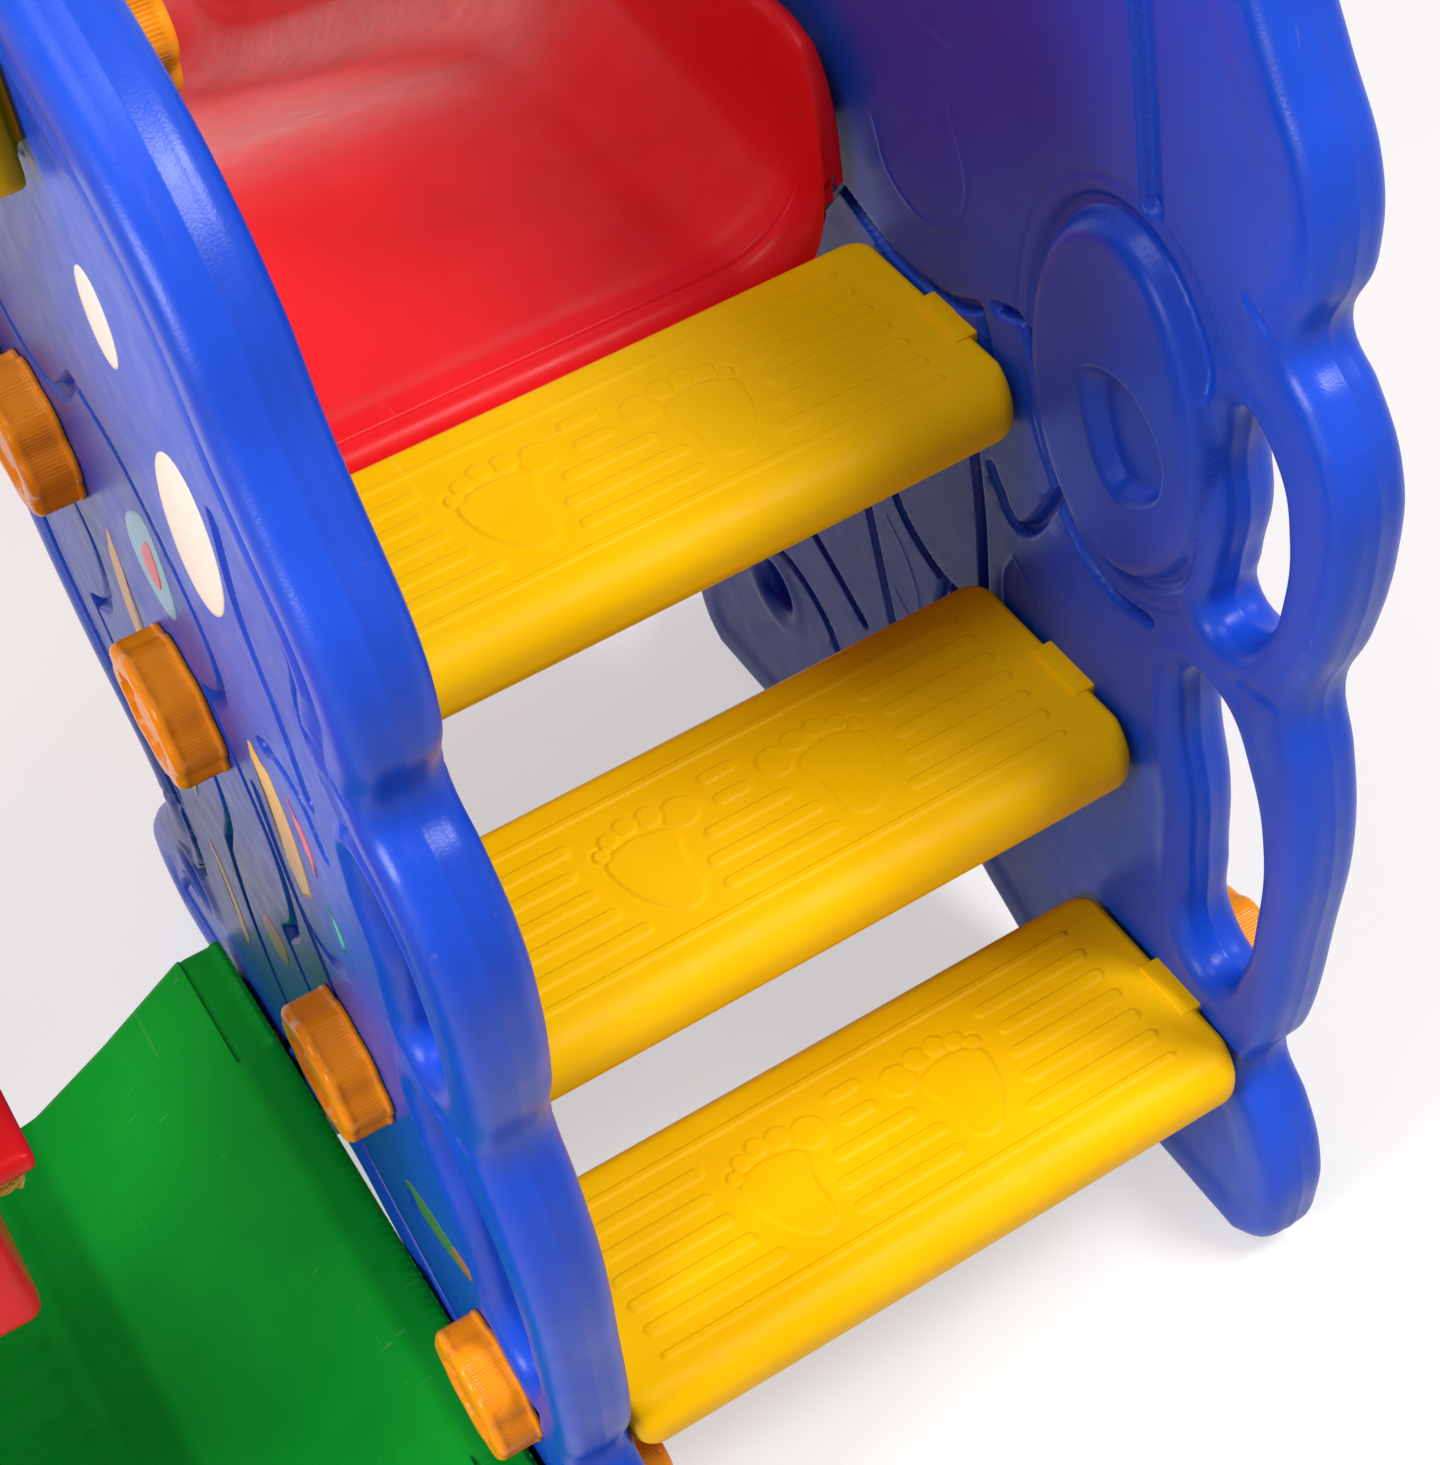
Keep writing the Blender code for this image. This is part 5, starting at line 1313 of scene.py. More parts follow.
PRINTS = (
    ("cream_oval", oval((0.034, 0.655), (0.026, 0.050), 24), CREAM, INK),
    ("cream_dot", oval((0.066, 0.735), (0.015, 0.024), 16), CREAM, INK),
    ("sky_drop", oval((0.130, 0.566), (0.021, 0.037), 26, 0.40), SKY, INK),
    ("rose_drop", oval((0.130, 0.563), (0.008, 0.019), 26, 0.40), ROSE, OVERPRINT),
    ("tan_ribbon", ribbon(((0.208, 0.520), (0.224, 0.450), (0.222, 0.380), (0.236, 0.310)), 0.009), TAN, INK),
    ("tan_ribbon_low", ribbon(((0.250, 0.262), (0.244, 0.215), (0.250, 0.168)), 0.006), TAN, INK),
    ("sun_ribbon", ribbon(((0.056, 0.522), (0.046, 0.492), (0.046, 0.460), (0.052, 0.426)), 0.012), SUN, INK),
    ("rose_sliver", ribbon(((0.020, 0.522), (0.014, 0.500), (0.013, 0.478)), 0.0045, 0.4), ROSE, INK),
    ("mint_sliver", ribbon(((0.012, 0.462), (0.007, 0.446), (0.008, 0.430)), 0.0028, 0.4), MINT, INK),
    ("olive_oval", oval((0.160, 0.272), (0.014, 0.022), 30), OLIVE, INK),
    ("green_leaf", oval((0.006, 0.208), (0.013, 0.040), 75, 0.25), LEAF, INK),
    ("bark_tip", oval((-0.024, 0.219), (0.007, 0.013), 70, 0.25), BARK, OVERPRINT),
)
for name, loop, ink, lift in PRINTS:
    printed("print_" + name, loop, ink, lift)


# Shells with a wall of even thickness


def shell(name, grid, thickness, finish):
    """A closed wall below a grid of points, whose rows run along it and columns across it."""
    rows, columns, _ = grid.shape
    back = grid - upward_normals(grid) * thickness
    vertices = np.vstack([grid.reshape(-1, 3), back.reshape(-1, 3)])
    count = rows * columns
    front_faces = grid_faces(rows, columns)
    faces = [tuple(face) for face in front_faces]
    faces += [tuple(face[::-1] + count) for face in front_faces]
    index = np.arange(count).reshape(rows, columns)
    border = np.concatenate([index[0], index[1:, -1], index[-1, -2::-1], index[-2:0:-1, 0]])
    for a, b in zip(border, np.roll(border, -1)):
        faces.append((a, b, b + count, a + count))
    return recalculated(mesh_piece(name, vertices, faces, finish), 50)


def monotone(xs, ys, at):
    """Values on a smooth curve through the points that never overshoots them."""
    xs = np.array(xs, float)
    ys = np.array(ys, float)
    steps = np.diff(xs)
    slopes = np.diff(ys) / steps
    tangents = np.zeros(len(xs))
    tangents[0] = slopes[0]
    tangents[-1] = slopes[-1]
    for k in range(1, len(xs) - 1):
        if slopes[k - 1] * slopes[k] > 0:
            first = 2 * steps[k] + steps[k - 1]
            second = steps[k] + 2 * steps[k - 1]
            tangents[k] = (first + second) / (first / slopes[k - 1] + second / slopes[k])
    spot = np.clip(np.searchsorted(xs, at) - 1, 0, len(steps) - 1)
    h = steps[spot]
    t = (at - xs[spot]) / h
    a = ys[spot]
    b = ys[spot + 1]
    m = tangents[spot]
    n = tangents[spot + 1]
    return (
        a * (2 * t ** 3 - 3 * t ** 2 + 1) + b * (3 * t ** 2 - 2 * t ** 3)
        + h * (m * (t ** 3 - 2 * t ** 2 + t) + n * (t ** 3 - t ** 2))
    )


def rounded_line(points, radius, steps=6):
    """An open line through the points with its corners rounded."""
    points = [np.array(p, float) for p in points]
    found = [points[0]]
    for before, corner, after in zip(points, points[1:], points[2:]):
        inward = before - corner
        outward = after - corner
        reach = min(radius, np.linalg.norm(inward) * 0.45, np.linalg.norm(outward) * 0.45)
        start = corner + inward / np.linalg.norm(inward) * reach
        end = corner + outward / np.linalg.norm(outward) * reach
        for k in range(steps + 1):
            t = k / steps
            found.append(start * (1 - t) ** 2 + corner * 2 * t * (1 - t) + end * t * t)
    found.append(points[-1])
    return np.array(found)


def respaced(line, pitch):
    """Points along an open line no further apart than the pitch, with its own points kept."""
    found = []
    for start, end in zip(line, line[1:]):
        count = max(1, int(np.ceil(np.linalg.norm(end - start) / pitch)))
        for k in range(count):
            found.append(start + (end - start) * k / count)
    found.append(line[-1])
    return np.array(found)


# Slide

SLIDE_Y = 2 * STEP_RUN + STEP_BACK + 0.0015
SLIDE_REACH = 1.155
DECK_Z = FIRST_TREAD + 2 * STEP_RISE - 0.002
SLIDE_DECK = 0.255
SLIDE_RUN_OUT = 0.190
SLIDE_END_HEIGHT = 0.044
SLIDE_END_EDGE = 0.0019
SLIDE_WALL = 0.005
SLIDE_FLAT_HALF = 0.109
SLIDE_CORNER = 0.052
SLIDE_WALL_HEIGHT = 0.112
SLIDE_RIM = 0.0055
SLIDE_RIM_LIP = 0.012
SLIDE_TOP_BEND = 0.070
SLIDE_FOOT_BEND = 0.080
CREASE_BACK = 0.0165
SLIDE_WAVER = 0.0006
SLIDE_WALL_FALL = 0.12
# Lip behind the top step as (distance on, rise over the deck, share of the walls' height)
SLIDE_LIP = (
    (0.000, -0.030, 0.62), (0.002, -0.014, 0.72), (0.008, -0.004, 0.84), (0.018, 0.000, 0.94),
    (0.045, 0.000, 1.0), (0.130, 0.000, 1.0),
)
# Outlet as (distance before its end, height, share of the walls' height)
SLIDE_OUTLET = (
    (0.060, SLIDE_END_HEIGHT, 0.66), (0.024, SLIDE_END_HEIGHT - 0.005, 0.58),
    (0.007, SLIDE_END_HEIGHT - 0.017, 0.52), (0.000, SLIDE_END_EDGE, 0.50),
)
# Waves over the slide's rear edge as (height, place, half width)
SLIDE_WAVES = ((0.0010, 0.0105, 0.0038), (0.0022, 0.028, 0.0085), (-0.0019, CREASE_BACK, 0.0011))


def slide_stations():
    """The slide from its rear edge to its outlet as (y, height of its floor, height of its walls)."""
    made = [(SLIDE_Y + on, DECK_Z + rise, SLIDE_WALL_HEIGHT * share) for on, rise, share in SLIDE_LIP]
    top = (SLIDE_Y + SLIDE_DECK, DECK_Z)
    bottom = (SLIDE_Y + SLIDE_REACH - SLIDE_RUN_OUT, SLIDE_END_HEIGHT + 0.012)
    slope = (top[1] - bottom[1]) / (bottom[0] - top[0])
    for share in (-1.0, -0.5, 0.0, 0.5, 1.0):
        y = top[0] + share * SLIDE_TOP_BEND
        fall = slope * (y - top[0] + SLIDE_TOP_BEND) ** 2 / (4 * SLIDE_TOP_BEND)
        made.append((y, top[1] - fall, SLIDE_WALL_HEIGHT))
    made.append(((top[0] + bottom[0]) / 2, (top[1] + bottom[1]) / 2, SLIDE_WALL_HEIGHT))
    for share in (-1.0, -0.5, 0.0, 0.5, 1.0):
        y = bottom[0] + share * SLIDE_FOOT_BEND
        rise = slope * (bottom[0] + SLIDE_FOOT_BEND - y) ** 2 / (4 * SLIDE_FOOT_BEND)
        made.append((y, bottom[1] + rise, SLIDE_WALL_HEIGHT * (1.0 - SLIDE_WALL_FALL * (share + 1.0))))
    end = SLIDE_Y + SLIDE_REACH
    made += [(end - before, height, SLIDE_WALL_HEIGHT * share) for before, height, share in SLIDE_OUTLET]
    return made


def slide_half_section(height, lip):
    """Half of the channel's section as (x, rise), with the same count at each height."""
    points = [(x, 0.0) for x in np.linspace(0.0, SLIDE_FLAT_HALF, 18)]
    for angle in np.linspace(-pi / 2, 0, 15)[1:]:
        points.append((SLIDE_FLAT_HALF + SLIDE_CORNER * cos(angle), SLIDE_CORNER * (1 + sin(angle))))
    wall = SLIDE_FLAT_HALF + SLIDE_CORNER + 0.001
    top = max(height, SLIDE_CORNER + SLIDE_RIM + 0.002)
    for share in np.linspace(0, 1, 9)[1:]:
        points.append((wall, SLIDE_CORNER + (top - SLIDE_RIM - SLIDE_CORNER) * share))
    for angle in np.linspace(pi, 0, 11)[1:]:
        points.append((wall + SLIDE_RIM * (1 + cos(angle)), top - SLIDE_RIM + SLIDE_RIM * sin(angle)))
    for share in (0.5, 1.0):
        points.append((wall + 2 * SLIDE_RIM, top - SLIDE_RIM - lip * share))
    return np.array(points)


def slide_shell():
    """The channel as a thin shell over closely spaced sections, with waves behind the top step."""
    stations = np.array(slide_stations())
    near = SLIDE_Y
    at = set(stations[:, 0])
    at.update(near + np.linspace(0.0, 0.002, 7))
    at.update(near + np.linspace(0.002, 0.060, 49))
    at.update(near + CREASE_BACK + np.linspace(-0.004, 0.004, 19))
    at.update(near + np.arange(0.060, SLIDE_REACH - 0.060, 0.0075))
    at.update(near + SLIDE_REACH - np.linspace(0.0, 0.060, 25))
    at = np.array(sorted(at))
    at = at[np.concatenate([[True], np.diff(at) > 0.0002])]
    floor_z = monotone(stations[:, 0], stations[:, 1], at)
    height = monotone(stations[:, 0], stations[:, 2], at)
    rows = []
    for y, base, wall in zip(at, floor_z, height):
        run = min(smooth_step(0.03, 0.10, y - near), smooth_step(0.03, 0.12, near + SLIDE_REACH - y))
        half = slide_half_section(wall, SLIDE_RIM_LIP * (0.1 + 0.9 * run))
        full = np.vstack([half[:0:-1] * (-1, 1), half])
        rows.append(np.column_stack([full[:, 0], np.full(len(full), y), base + full[:, 1]]))
    grid = np.array(rows)
    past = grid[..., 1] - near
    waves = sum(rise * bell(past - place, half) for rise, place, half in SLIDE_WAVES)
    waver = SLIDE_WAVER * np.sin(grid[..., 0] * 21.0) * np.sin(past * 13.0 + 0.6)
    on_floor = 1 - smooth_step(SLIDE_FLAT_HALF + 0.02, SLIDE_FLAT_HALF + SLIDE_CORNER, np.abs(grid[..., 0]))
    relief = waves * on_floor + waver * smooth_step(0.02, 0.08, past)
    grid = grid + upward_normals(grid) * relief[..., None]
    return shell("slide_channel", grid, SLIDE_WALL, RED)


def lathe(name, profile, start, axis, finish, sides=32, carried=ORIGIN, outline=None, crease=38):
    """A turned piece from (distance along, radius) points; one with an outline keeps its bore open."""
    axis = Vector(axis).normalized()
    first = axis.orthogonal().normalized()
    second = axis.cross(first)
    angles = around(sides)
    rows = []
    for along, radius in profile:
        spread = outline(angles, radius) if outline else radius
        ring = np.outer(np.cos(angles) * spread, first) + np.outer(np.sin(angles) * spread, second)
        rows.append(np.array(Vector(start) + axis * along) + ring)
    faces = capped(len(rows), sides)
    if outline:
        last = (len(rows) - 1) * sides
        faces = faces[:-2]
        faces += [(last + k, last + (k + 1) % sides, (k + 1) % sides, k) for k in range(sides)]
    return recalculated(mesh_piece(name, np.vstack(rows), faces, finish, carried), crease)


stands_for(slide_shell(), "slide")
for side in (-1, 1):
    for spot in ("rear", "front"):
        end = "right" if side > 0 else "left"
        y, z = axis_of(f"{end}_slide_{spot}_knob")
        inner = SLIDE_FLAT_HALF + SLIDE_CORNER + 0.003
        length = PANEL_INNER - 0.0003 - inner
        profile = [
            (0, 0.0085), (0, 0.0195), (0.002, 0.0175), (0.004, 0.0162),
            (length - 0.001, 0.0160), (length, 0.0150), (length, 0.0085),
        ]
        start = (side * inner, y, z)
        boss = lathe(f"{end}_slide_{spot}_boss", profile, start, (side, 0, 0), RED, sides=48)
        part_of(boss)


# Swing bay

BAY_X = (SUPPORT_INNER - PANEL_OUTER) / 2
BASE_REAR = BAY_Y - 0.170 - 0.035
BASE_FRONT = BAY_Y + 0.170 + 0.062
BASE_EDGE_HEIGHT = 0.080
BASE_LEDGE = 0.026
BASE_SLOPE = 0.120
BASE_THICK = 0.005
LEDGE_STEP = 0.0022
LEDGE_LOW = 0.070
# The ledge keeps its full height between these two pairs of y, and its top is lower beyond them
LEDGE_REAR = (-0.040, -0.037)
LEDGE_FRONT = (0.247, 0.250)
TOOTH_PITCH = 0.0065
TOOTH_DEPTH = 0.0016
END_DROP = 0.0020
TRAY_BEAD = 0.0009
TRAY_BEAD_HALF = 0.0022
TRAY_BORDER = 0.030
TRAY_PITCH = 0.022
TRAY_RISE = 0.0010


def base_shell():
    """The base plate: a ledge along each side for the panels' feet, two slopes and a ribbed tray."""
    near = PANEL_OUTER + 0.0003
    far = -SUPPORT_INNER - 0.0003
    half = [
        (near, 0.012), (near, BASE_EDGE_HEIGHT), (near + BASE_LEDGE, BASE_EDGE_HEIGHT),
        (near + BASE_LEDGE + BASE_SLOPE * 0.5, BASE_EDGE_HEIGHT * 0.50),
        (near + BASE_LEDGE + BASE_SLOPE, BASE_THICK), ((near + far) / 2, BASE_THICK),
    ]
    line = respaced(rounded_line(half, 0.0045), 0.0035)
    mirrored = np.column_stack([far - (line[-2::-1, 0] - near), line[-2::-1, 1]])
    section = np.vstack([line, mirrored])
    at = np.concatenate([
        BASE_REAR + np.linspace(0, 0.006, 5), np.arange(BASE_REAR + 0.008, BASE_FRONT - 0.006, 0.002),
        BASE_FRONT - np.linspace(0.006, 0, 5),
    ])
    x, y = np.meshgrid(-section[:, 0], at)
    z = np.broadcast_to(section[:, 1], x.shape).copy()
    depth_in = np.minimum(y - BASE_REAR, BASE_FRONT - y)
    from_panel = np.minimum(-x - near, x + far)
    on_ledge = (z > LEDGE_LOW) & (from_panel < BASE_LEDGE)
    raised_pad = smooth_step(*LEDGE_REAR, y) * (1 - smooth_step(*LEDGE_FRONT, y))
    z = z - LEDGE_STEP * (1 - raised_pad) * on_ledge * smooth_step(0.004, 0.006, from_panel)
    teeth = 0.5 - 0.5 * np.tanh(6 * np.cos(2 * pi * y / TOOTH_PITCH))
    beside_panel = (1 - smooth_step(0.004, 0.0055, from_panel)) * smooth_step(0.0005, 0.001, from_panel)
    z = z - TOOTH_DEPTH * teeth * on_ledge * beside_panel
    end_drop = END_DROP * (1 - smooth_step(0.0, 0.005, depth_in)) ** 2
    z = z - end_drop * smooth_step(BASE_THICK, 2 * BASE_THICK, z)
    tray = from_panel > BASE_LEDGE + BASE_SLOPE + 0.020
    border = np.minimum(from_panel - BASE_LEDGE - BASE_SLOPE, depth_in)
    on_tray = from_panel > BASE_LEDGE + BASE_SLOPE + 0.004
    z = z + TRAY_BEAD * bell(border - TRAY_BORDER, TRAY_BEAD_HALF) * on_tray
    bars = smooth_step(0.35, 0.75, np.cos(2 * pi * (y - BAY_Y) / TRAY_PITCH))
    z = z + TRAY_RISE * bars * smooth_step(0.042, 0.046, border) * tray
    return shell("base_tray", np.stack([x, y, z], -1), BASE_THICK - 0.0004, GREEN)


stands_for(base_shell(), "swing_base_plate")


SUPPORT_TOP = 0.903
SUPPORT_WEB_DROP = 0.0026
SUPPORT_GROOVE_DEPTH = 0.0035
SUPPORT_GROOVES = tuple(
    tuple((BAY_Y + way * d, z) for d, z in line)
    for way in (-1, 1)
    for line in (
        ((0.150, 0.110), (0.158, 0.180), (0.150, 0.260), (0.132, 0.340)),
        ((0.000, 0.150), (0.050, 0.160), (0.100, 0.185)),
        ((0.040, 0.720), (0.052, 0.770), (0.040, 0.810), (0.000, 0.828)),
    )
)


def support_plan():
    def mirrored_loop(half):
        upward = [(BAY_Y + d, z, *sharp) for d, z, *sharp in half]
        return upward, [(BAY_Y - d, z, *sharp) for d, z, *sharp in reversed(half)]

    rising, falling = mirrored_loop(SUPPORT_EDGE)
    arch_up, arch_down = mirrored_loop(SUPPORT_ARCH)
    arch = arch_down[::-1] + arch_up[::-1]
    outer = loop_points(rising + [(BAY_Y, SUPPORT_TOP)] + falling + arch, 0.0040)
    opening_up, opening_down = mirrored_loop(SUPPORT_OPENING)
    opening = loop_points(opening_up + opening_down, 0.0040)

    def detail(points):
        return line_field(points, SUPPORT_GROOVES) < 0.0055

    return Plan(outer, [opening], RING_DEPTHS, detail)


def support_face(plan):
    height = rim(plan, SUPPORT_THICK / 2, SUPPORT_WEB_DROP)
    grooves = trench(line_field(plan.points, SUPPORT_GROOVES), GROOVE_HALF, SUPPORT_GROOVE_DEPTH, 0.45)
    return height - grooves * smooth_step(*GROOVE_FADE, plan.edge)


SUPPORT_PLAN = support_plan()
FACE = support_face(SUPPORT_PLAN)
support_middle = SUPPORT_INNER - SUPPORT_THICK / 2
support = moulded("support_shell", SUPPORT_PLAN, FACE, FACE, BLUE, support_middle)
stands_for(support, "outer_support")


def softened(node, name, voxel, rounds, finish, body, detail=None):
    """A finely meshed copy of a CAD node with its edges eased, and detail pressed into it."""
    source = frame["nodes"][node]
    copy = linked(name + "_rough", source.data.copy())
    remesh = copy.modifiers.new("fine", "REMESH")
    remesh.mode = "VOXEL"
    remesh.voxel_size = voxel
    ease = copy.modifiers.new("ease", "SMOOTH")
    ease.factor = 0.5
    ease.iterations = rounds
    bpy.context.view_layer.update()
    graph = bpy.context.evaluated_depsgraph_get()
    mesh = bpy.data.meshes.new_from_object(copy.evaluated_get(graph))
    rough = copy.data
    bpy.data.objects.remove(copy)
    bpy.data.meshes.remove(rough)
    mesh.name = name
    if detail:
        count = len(mesh.vertices)
        places = np.empty(count * 3)
        mesh.vertices.foreach_get("co", places)
        normals = np.empty(count * 3)
        mesh.vertices.foreach_get("normal", normals)
        places = places.reshape(-1, 3)
        normals = normals.reshape(-1, 3)
        rise = detail(places - np.array(ORIGIN), normals)
        mesh.vertices.foreach_set("co", (places + normals * rise[:, None]).ravel())
        mesh.update()
    mesh.materials.clear()
    mesh.materials.append(finish)
    mesh.shade_smooth()
    return stands_for(linked(name, mesh), node, body)


BEAM_Z = 0.820
BEAM_PANEL_FROM = 0.018
BEAM_PANEL_TO = 0.285
BEAM_PANEL_HALF = 0.022
BEAM_PANEL_CORNER = 0.010
BEAM_PANEL_DEPTH = 0.0022
SEAT_RIB_PITCH = 0.035
SEAT_RIB_SPAN = 0.105
SEAT_RIB_RISE = 0.0010
SEAT_GRIP_PITCH = 0.024
SEAT_GRIP_SPAN = 0.110
SEAT_GRIP_RISE = 0.0009


def beam_detail(places, normals):
    """Long shallow panels on the beam's two sides, with a rib between them."""
    facing = smooth_step(0.80, 0.95, np.abs(normals[:, 1]))
    flat = np.column_stack([np.abs(places[:, 0] - BAY_X), places[:, 2] - BEAM_Z])
    low = (BEAM_PANEL_FROM, -BEAM_PANEL_HALF)
    panel = box_distance(flat, low, (BEAM_PANEL_TO, BEAM_PANEL_HALF), BEAM_PANEL_CORNER)
    return -BEAM_PANEL_DEPTH * smooth_step(-0.003, 0.0, -panel - 0.0015) * facing


softened("swing_beam", "swing_beam_shell", 0.0022, 3, YELLOW, "frame", beam_detail)

SEAT_LOW, SEAT_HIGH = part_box("bucket_seat")


def seat_detail(places, normals):
    """Ribs up the backrest and across the seat's floor."""
    x, y, z = places.T
    floor_z = SEAT_LOW.z
    back = smooth_step(0.75, 0.92, np.abs(normals[:, 1])) * smooth_step(0.060, 0.075, z - floor_z)
    fade = smooth_step(0.0, 0.012, SEAT_RIB_SPAN - np.abs(x - BAY_X))
    fade = fade * smooth_step(0.0, 0.015, SEAT_HIGH.z - 0.030 - z)
    ribs = smooth_step(0.25, 0.70, np.cos(2 * pi * (x - BAY_X) / SEAT_RIB_PITCH)) * back * fade
    base = smooth_step(0.85, 0.97, np.abs(normals[:, 2])) * (1 - smooth_step(0.014, 0.020, z - floor_z))
    grips = smooth_step(0.25, 0.70, np.cos(2 * pi * (y - SEAT_LOW.y) / SEAT_GRIP_PITCH))
    grips = grips * base * smooth_step(0.0, 0.012, SEAT_GRIP_SPAN - np.abs(x - BAY_X))
    return SEAT_RIB_RISE * ribs + SEAT_GRIP_RISE * grips


softened("bucket_seat", "bucket_seat_shell", 0.0024, 3, RED, "swing", seat_detail)
softened("guard_bar", "guard_bar_shell", 0.0016, 3, YELLOW, "guard")


# Hardware

HANGER_HALF = 0.150
EYE_RADIUS = 0.012
EYE_WIRE = 0.004
BEAM_HALF = 0.038
EYE_Z = BEAM_Z - BEAM_HALF - 0.020
GAP = 0.0003
THREAD_GAP = 0.0002
BOLT_RADIUS = 0.005
BOLT_NUT_THICK = 0.008
NUT_TOP = BEAM_Z + BEAM_HALF + GAP
STUD_RADIUS = 0.008
STUD_NUT_THICK = 0.010
THREAD_PAST = 0.004
SHACKLE_WIRE = 0.003
SHACKLE_HALF = 0.0095
SHACKLE_DROP = 0.036
SHACKLE_BOSS_HALF = 0.004
PIN_HEAD = 0.003
SADDLE_Z = -SHACKLE_DROP - SHACKLE_HALF
SPREADER_BASE = SADDLE_Z - 0.050
SPREADER_HALF = 0.045
SPREADER_WIRE = 0.004
SPREADER_CORNER = 0.007
# Turned profiles as (distance along, radius)
COLLAR = (
    (0.0, 0.0040), (0.002, 0.0050), (0.0045, 0.0050), (0.0047, 0.0088), (0.0052, 0.0090), (0.0075, 0.0090),
    (0.0078, 0.0086), (0.0079, BOLT_RADIUS),
)
SHACKLE_BOSS = (
    (0, 0.0034), (0, 0.0060), (0.0006, 0.0065), (0.0074, 0.0065), (0.008, 0.0060), (0.008, 0.0034),
)
RIVET = (
    (0.0, 0.0040), (0.0004, 0.0056), (0.0010, 0.0060), (0.0026, 0.0060), (PIN_HEAD, 0.0056),
    (PIN_HEAD, 0.003),
)


def hex_nut(name, node, start, axis, radius, thick, bore, body="frame"):
    def outline(angles, size):
        """A hexagon whose corners lie at the size, or a circle where that is no more than the bore."""
        turned = (angles + pi / 6) % (pi / 3) - pi / 6
        return size * (cos(pi / 6) / np.cos(turned) if size > bore * 1.3 else np.ones(len(angles)))

    chamfer = thick * 0.12
    profile = [
        (0.0, bore), (0.0, radius * 0.93), (chamfer, radius), (thick - chamfer, radius),
        (thick, radius * 0.93), (thick, bore * 1.12), (thick - 0.0008, bore),
    ]
    nut = lathe(name, profile, start, axis, STEEL, sides=72, outline=outline, crease=25)
    return stands_for(nut, node, body)


def thread_profile(start, end, radius, pitch=0.0018, depth=0.0006):
    """Ridges of a thread as (distance along, radius) points."""
    found = [(start, radius - depth)]
    along = start + pitch / 2
    while along < end - pitch / 2:
        found += [(along - pitch * 0.18, radius), (along + pitch * 0.18, radius)]
        found.append((along + pitch * 0.5, radius - depth))
        along += pitch
    found.append((end, radius - depth * 1.5))
    return found


def eye_bolt(end, x):
    ring = [(x, BAY_Y + EYE_RADIUS * cos(a), EYE_Z + EYE_RADIUS * sin(a)) for a in around(48)]
    eye = tube(f"{end}_eye_ring", ring, EYE_WIRE, STEEL, closed=True)
    stands_for(eye, f"{end}_eye_bolt")
    base_z = EYE_Z + EYE_RADIUS
    length = NUT_TOP + BOLT_NUT_THICK + THREAD_PAST - base_z
    profile = [*COLLAR, (length - 0.020, BOLT_RADIUS)]
    profile += thread_profile(length - 0.0195, length, BOLT_RADIUS, 0.0013, 0.0004)
    shank = lathe(f"{end}_eye_shank", profile, (x, BAY_Y, base_z), (0, 0, 1), STEEL)
    part_of(shank)
    hex_nut(
        f"{end}_eye_nut", f"{end}_eye_bolt_nut", (x, BAY_Y, NUT_TOP), (0, 0, 1), 0.010, BOLT_NUT_THICK,
        BOLT_RADIUS + THREAD_GAP,
    )


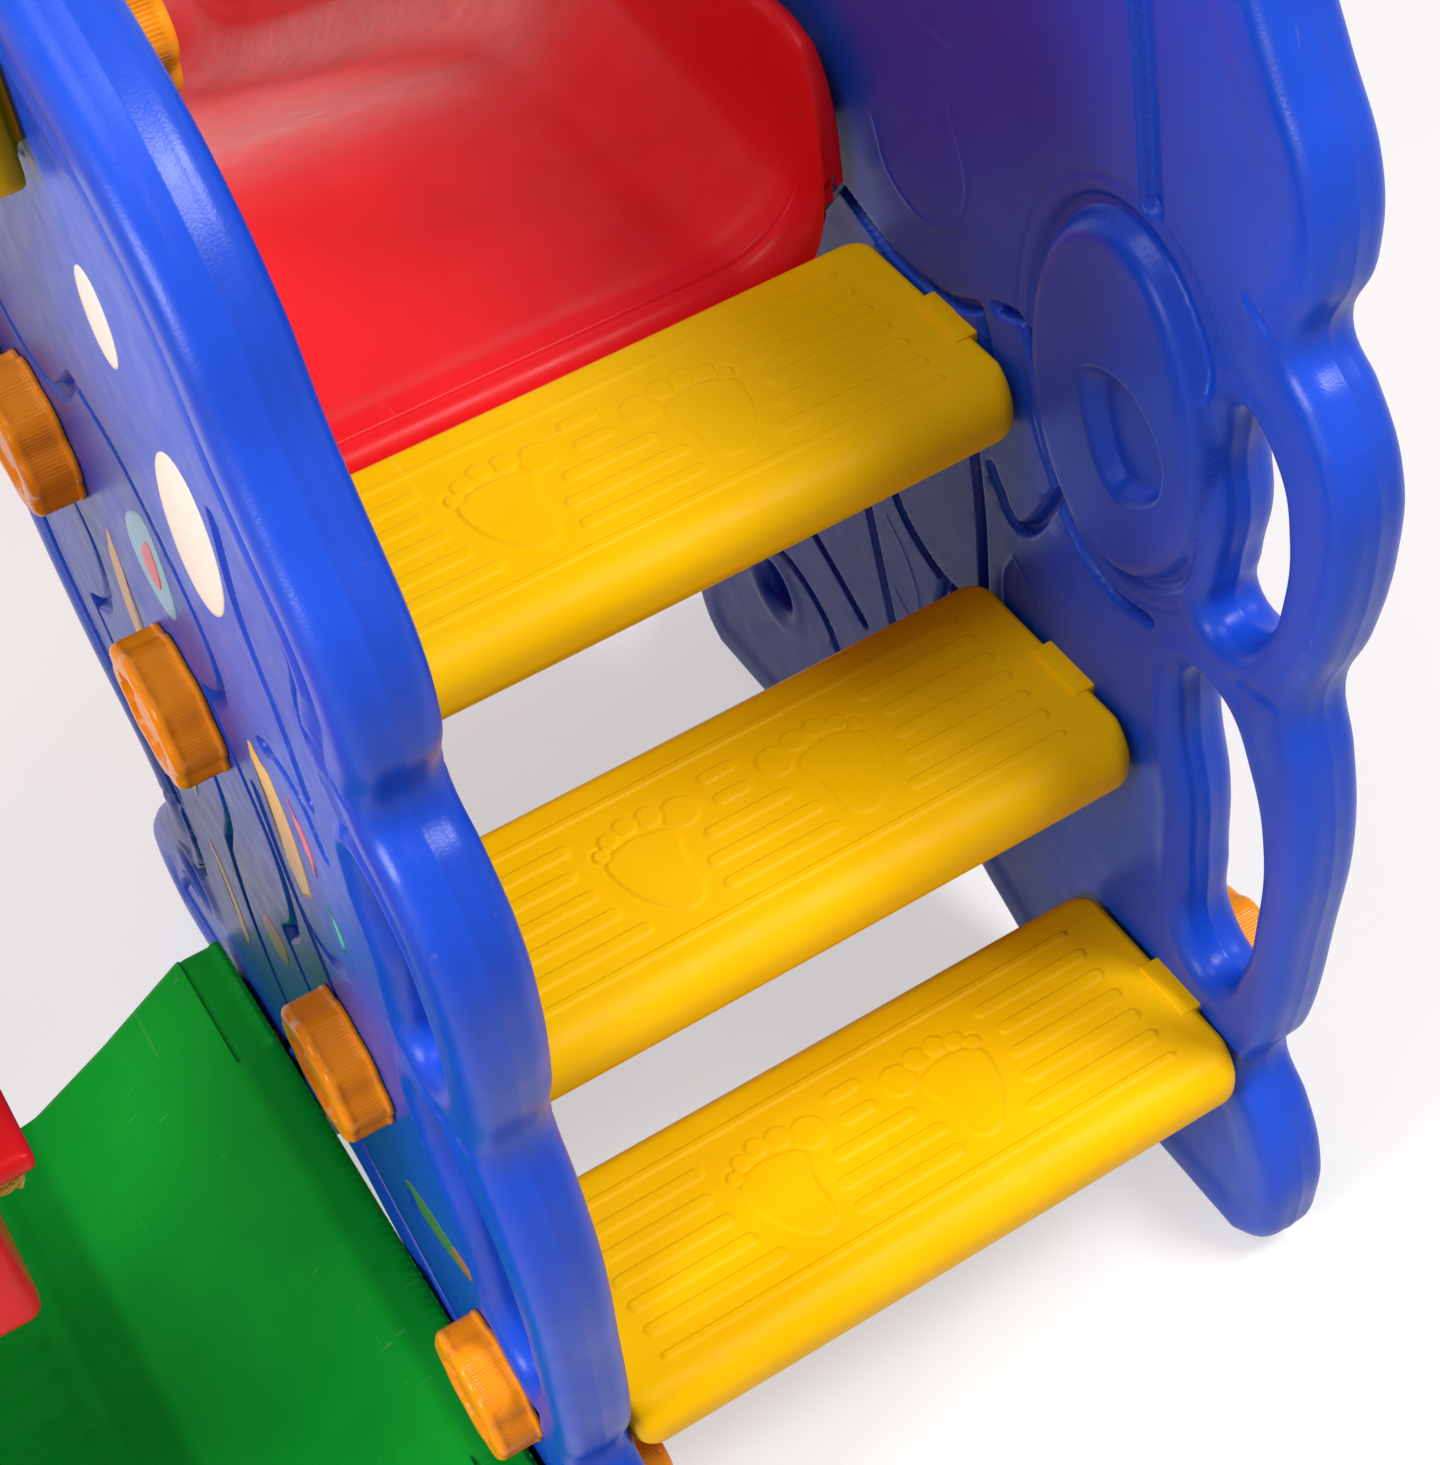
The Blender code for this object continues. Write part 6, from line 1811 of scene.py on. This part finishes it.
def shackle(end, x):
    route = [(x - SHACKLE_HALF, 0, z) for z in np.linspace(-0.0046, -SHACKLE_DROP, 10)[:-1]]
    for angle in np.linspace(pi, 2 * pi, 21):
        route.append((x + SHACKLE_HALF * cos(angle), 0, -SHACKLE_DROP + SHACKLE_HALF * sin(angle)))
    route += [(x + SHACKLE_HALF, 0, z) for z in np.linspace(-SHACKLE_DROP, -0.0046, 10)[1:]]
    bow = tube(f"{end}_shackle_bow", route, SHACKLE_WIRE, STEEL, carried=PIVOT)
    stands_for(bow, f"{end}_shackle", "swing")
    for way, label in ((-1, "a"), (1, "b")):
        start = (x + way * SHACKLE_HALF - SHACKLE_BOSS_HALF, 0, 0)
        boss = lathe(f"{end}_shackle_boss_{label}", SHACKLE_BOSS, start, (1, 0, 0), STEEL, carried=PIVOT)
        part_of(boss, "swing")
    reach = SHACKLE_HALF + SHACKLE_BOSS_HALF + GAP
    far_head = [(2 * (reach + PIN_HEAD) - along, radius) for along, radius in reversed(RIVET)]
    start = (x - reach - PIN_HEAD, 0, 0)
    pin = lathe(f"{end}_shackle_pin_body", [*RIVET, *far_head], start, (1, 0, 0), STEEL, carried=PIVOT)
    stands_for(pin, f"{end}_shackle_pin", "swing")


def spreader(end, x):
    """A triangle of thick wire that hangs in the shackle's bow."""
    crown = SHACKLE_WIRE + SPREADER_WIRE + GAP
    corner = SPREADER_CORNER
    route = [(x, crown * cos(a), SADDLE_Z + crown * sin(a)) for a in np.linspace(pi * 0.12, pi * 0.88, 13)]
    for way, first, last in ((-1, 0.85, 1.5), (1, -0.5, 0.15)):
        middle_y = way * (SPREADER_HALF - corner)
        for angle in np.linspace(pi * first, pi * last, 11):
            route.append((x, middle_y + corner * cos(angle), SPREADER_BASE + corner + corner * sin(angle)))
    whole = respaced(np.array(route + route[:1]), 0.003)[:-1]
    wire = tube(f"{end}_spreader_wire", whole, SPREADER_WIRE, RED, closed=True, carried=PIVOT)
    stands_for(wire, f"{end}_rope_spreader", "swing")


def base_fixing(label, spot, face, inward):
    """The stud of a base knob and the nut at its end."""
    y, z = axis_of(f"base_{label}_{spot}_knob")
    nut_start = face + inward * (PANEL_THICK + GAP + BASE_THICK + GAP)
    hex_nut(
        f"base_{label}_{spot}_hex", f"base_{label}_{spot}_nut", (nut_start, y, z), (inward, 0, 0), 0.014,
        STUD_NUT_THICK, STUD_RADIUS + THREAD_GAP,
    )
    thread = thread_profile(0.0, PANEL_THICK + BASE_THICK + STUD_NUT_THICK + THREAD_PAST, STUD_RADIUS)
    stud = lathe(f"base_{label}_{spot}_stud", thread, (face, y, z), (inward, 0, 0), ORANGE)
    part_of(stud)


for side, end in ((-1, "outer"), (1, "inner")):
    eye_bolt(end, BAY_X + side * HANGER_HALF)
for side, end in ((-1, "outer"), (1, "inner")):
    shackle(end, side * HANGER_HALF)
    spreader(end, side * HANGER_HALF)
for label, face, inward in (("inner", -PANEL_INNER, -1), ("outer", SUPPORT_OUTER, 1)):
    for spot in ("rear", "front"):
        base_fixing(label, spot, face, inward)


low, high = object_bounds()
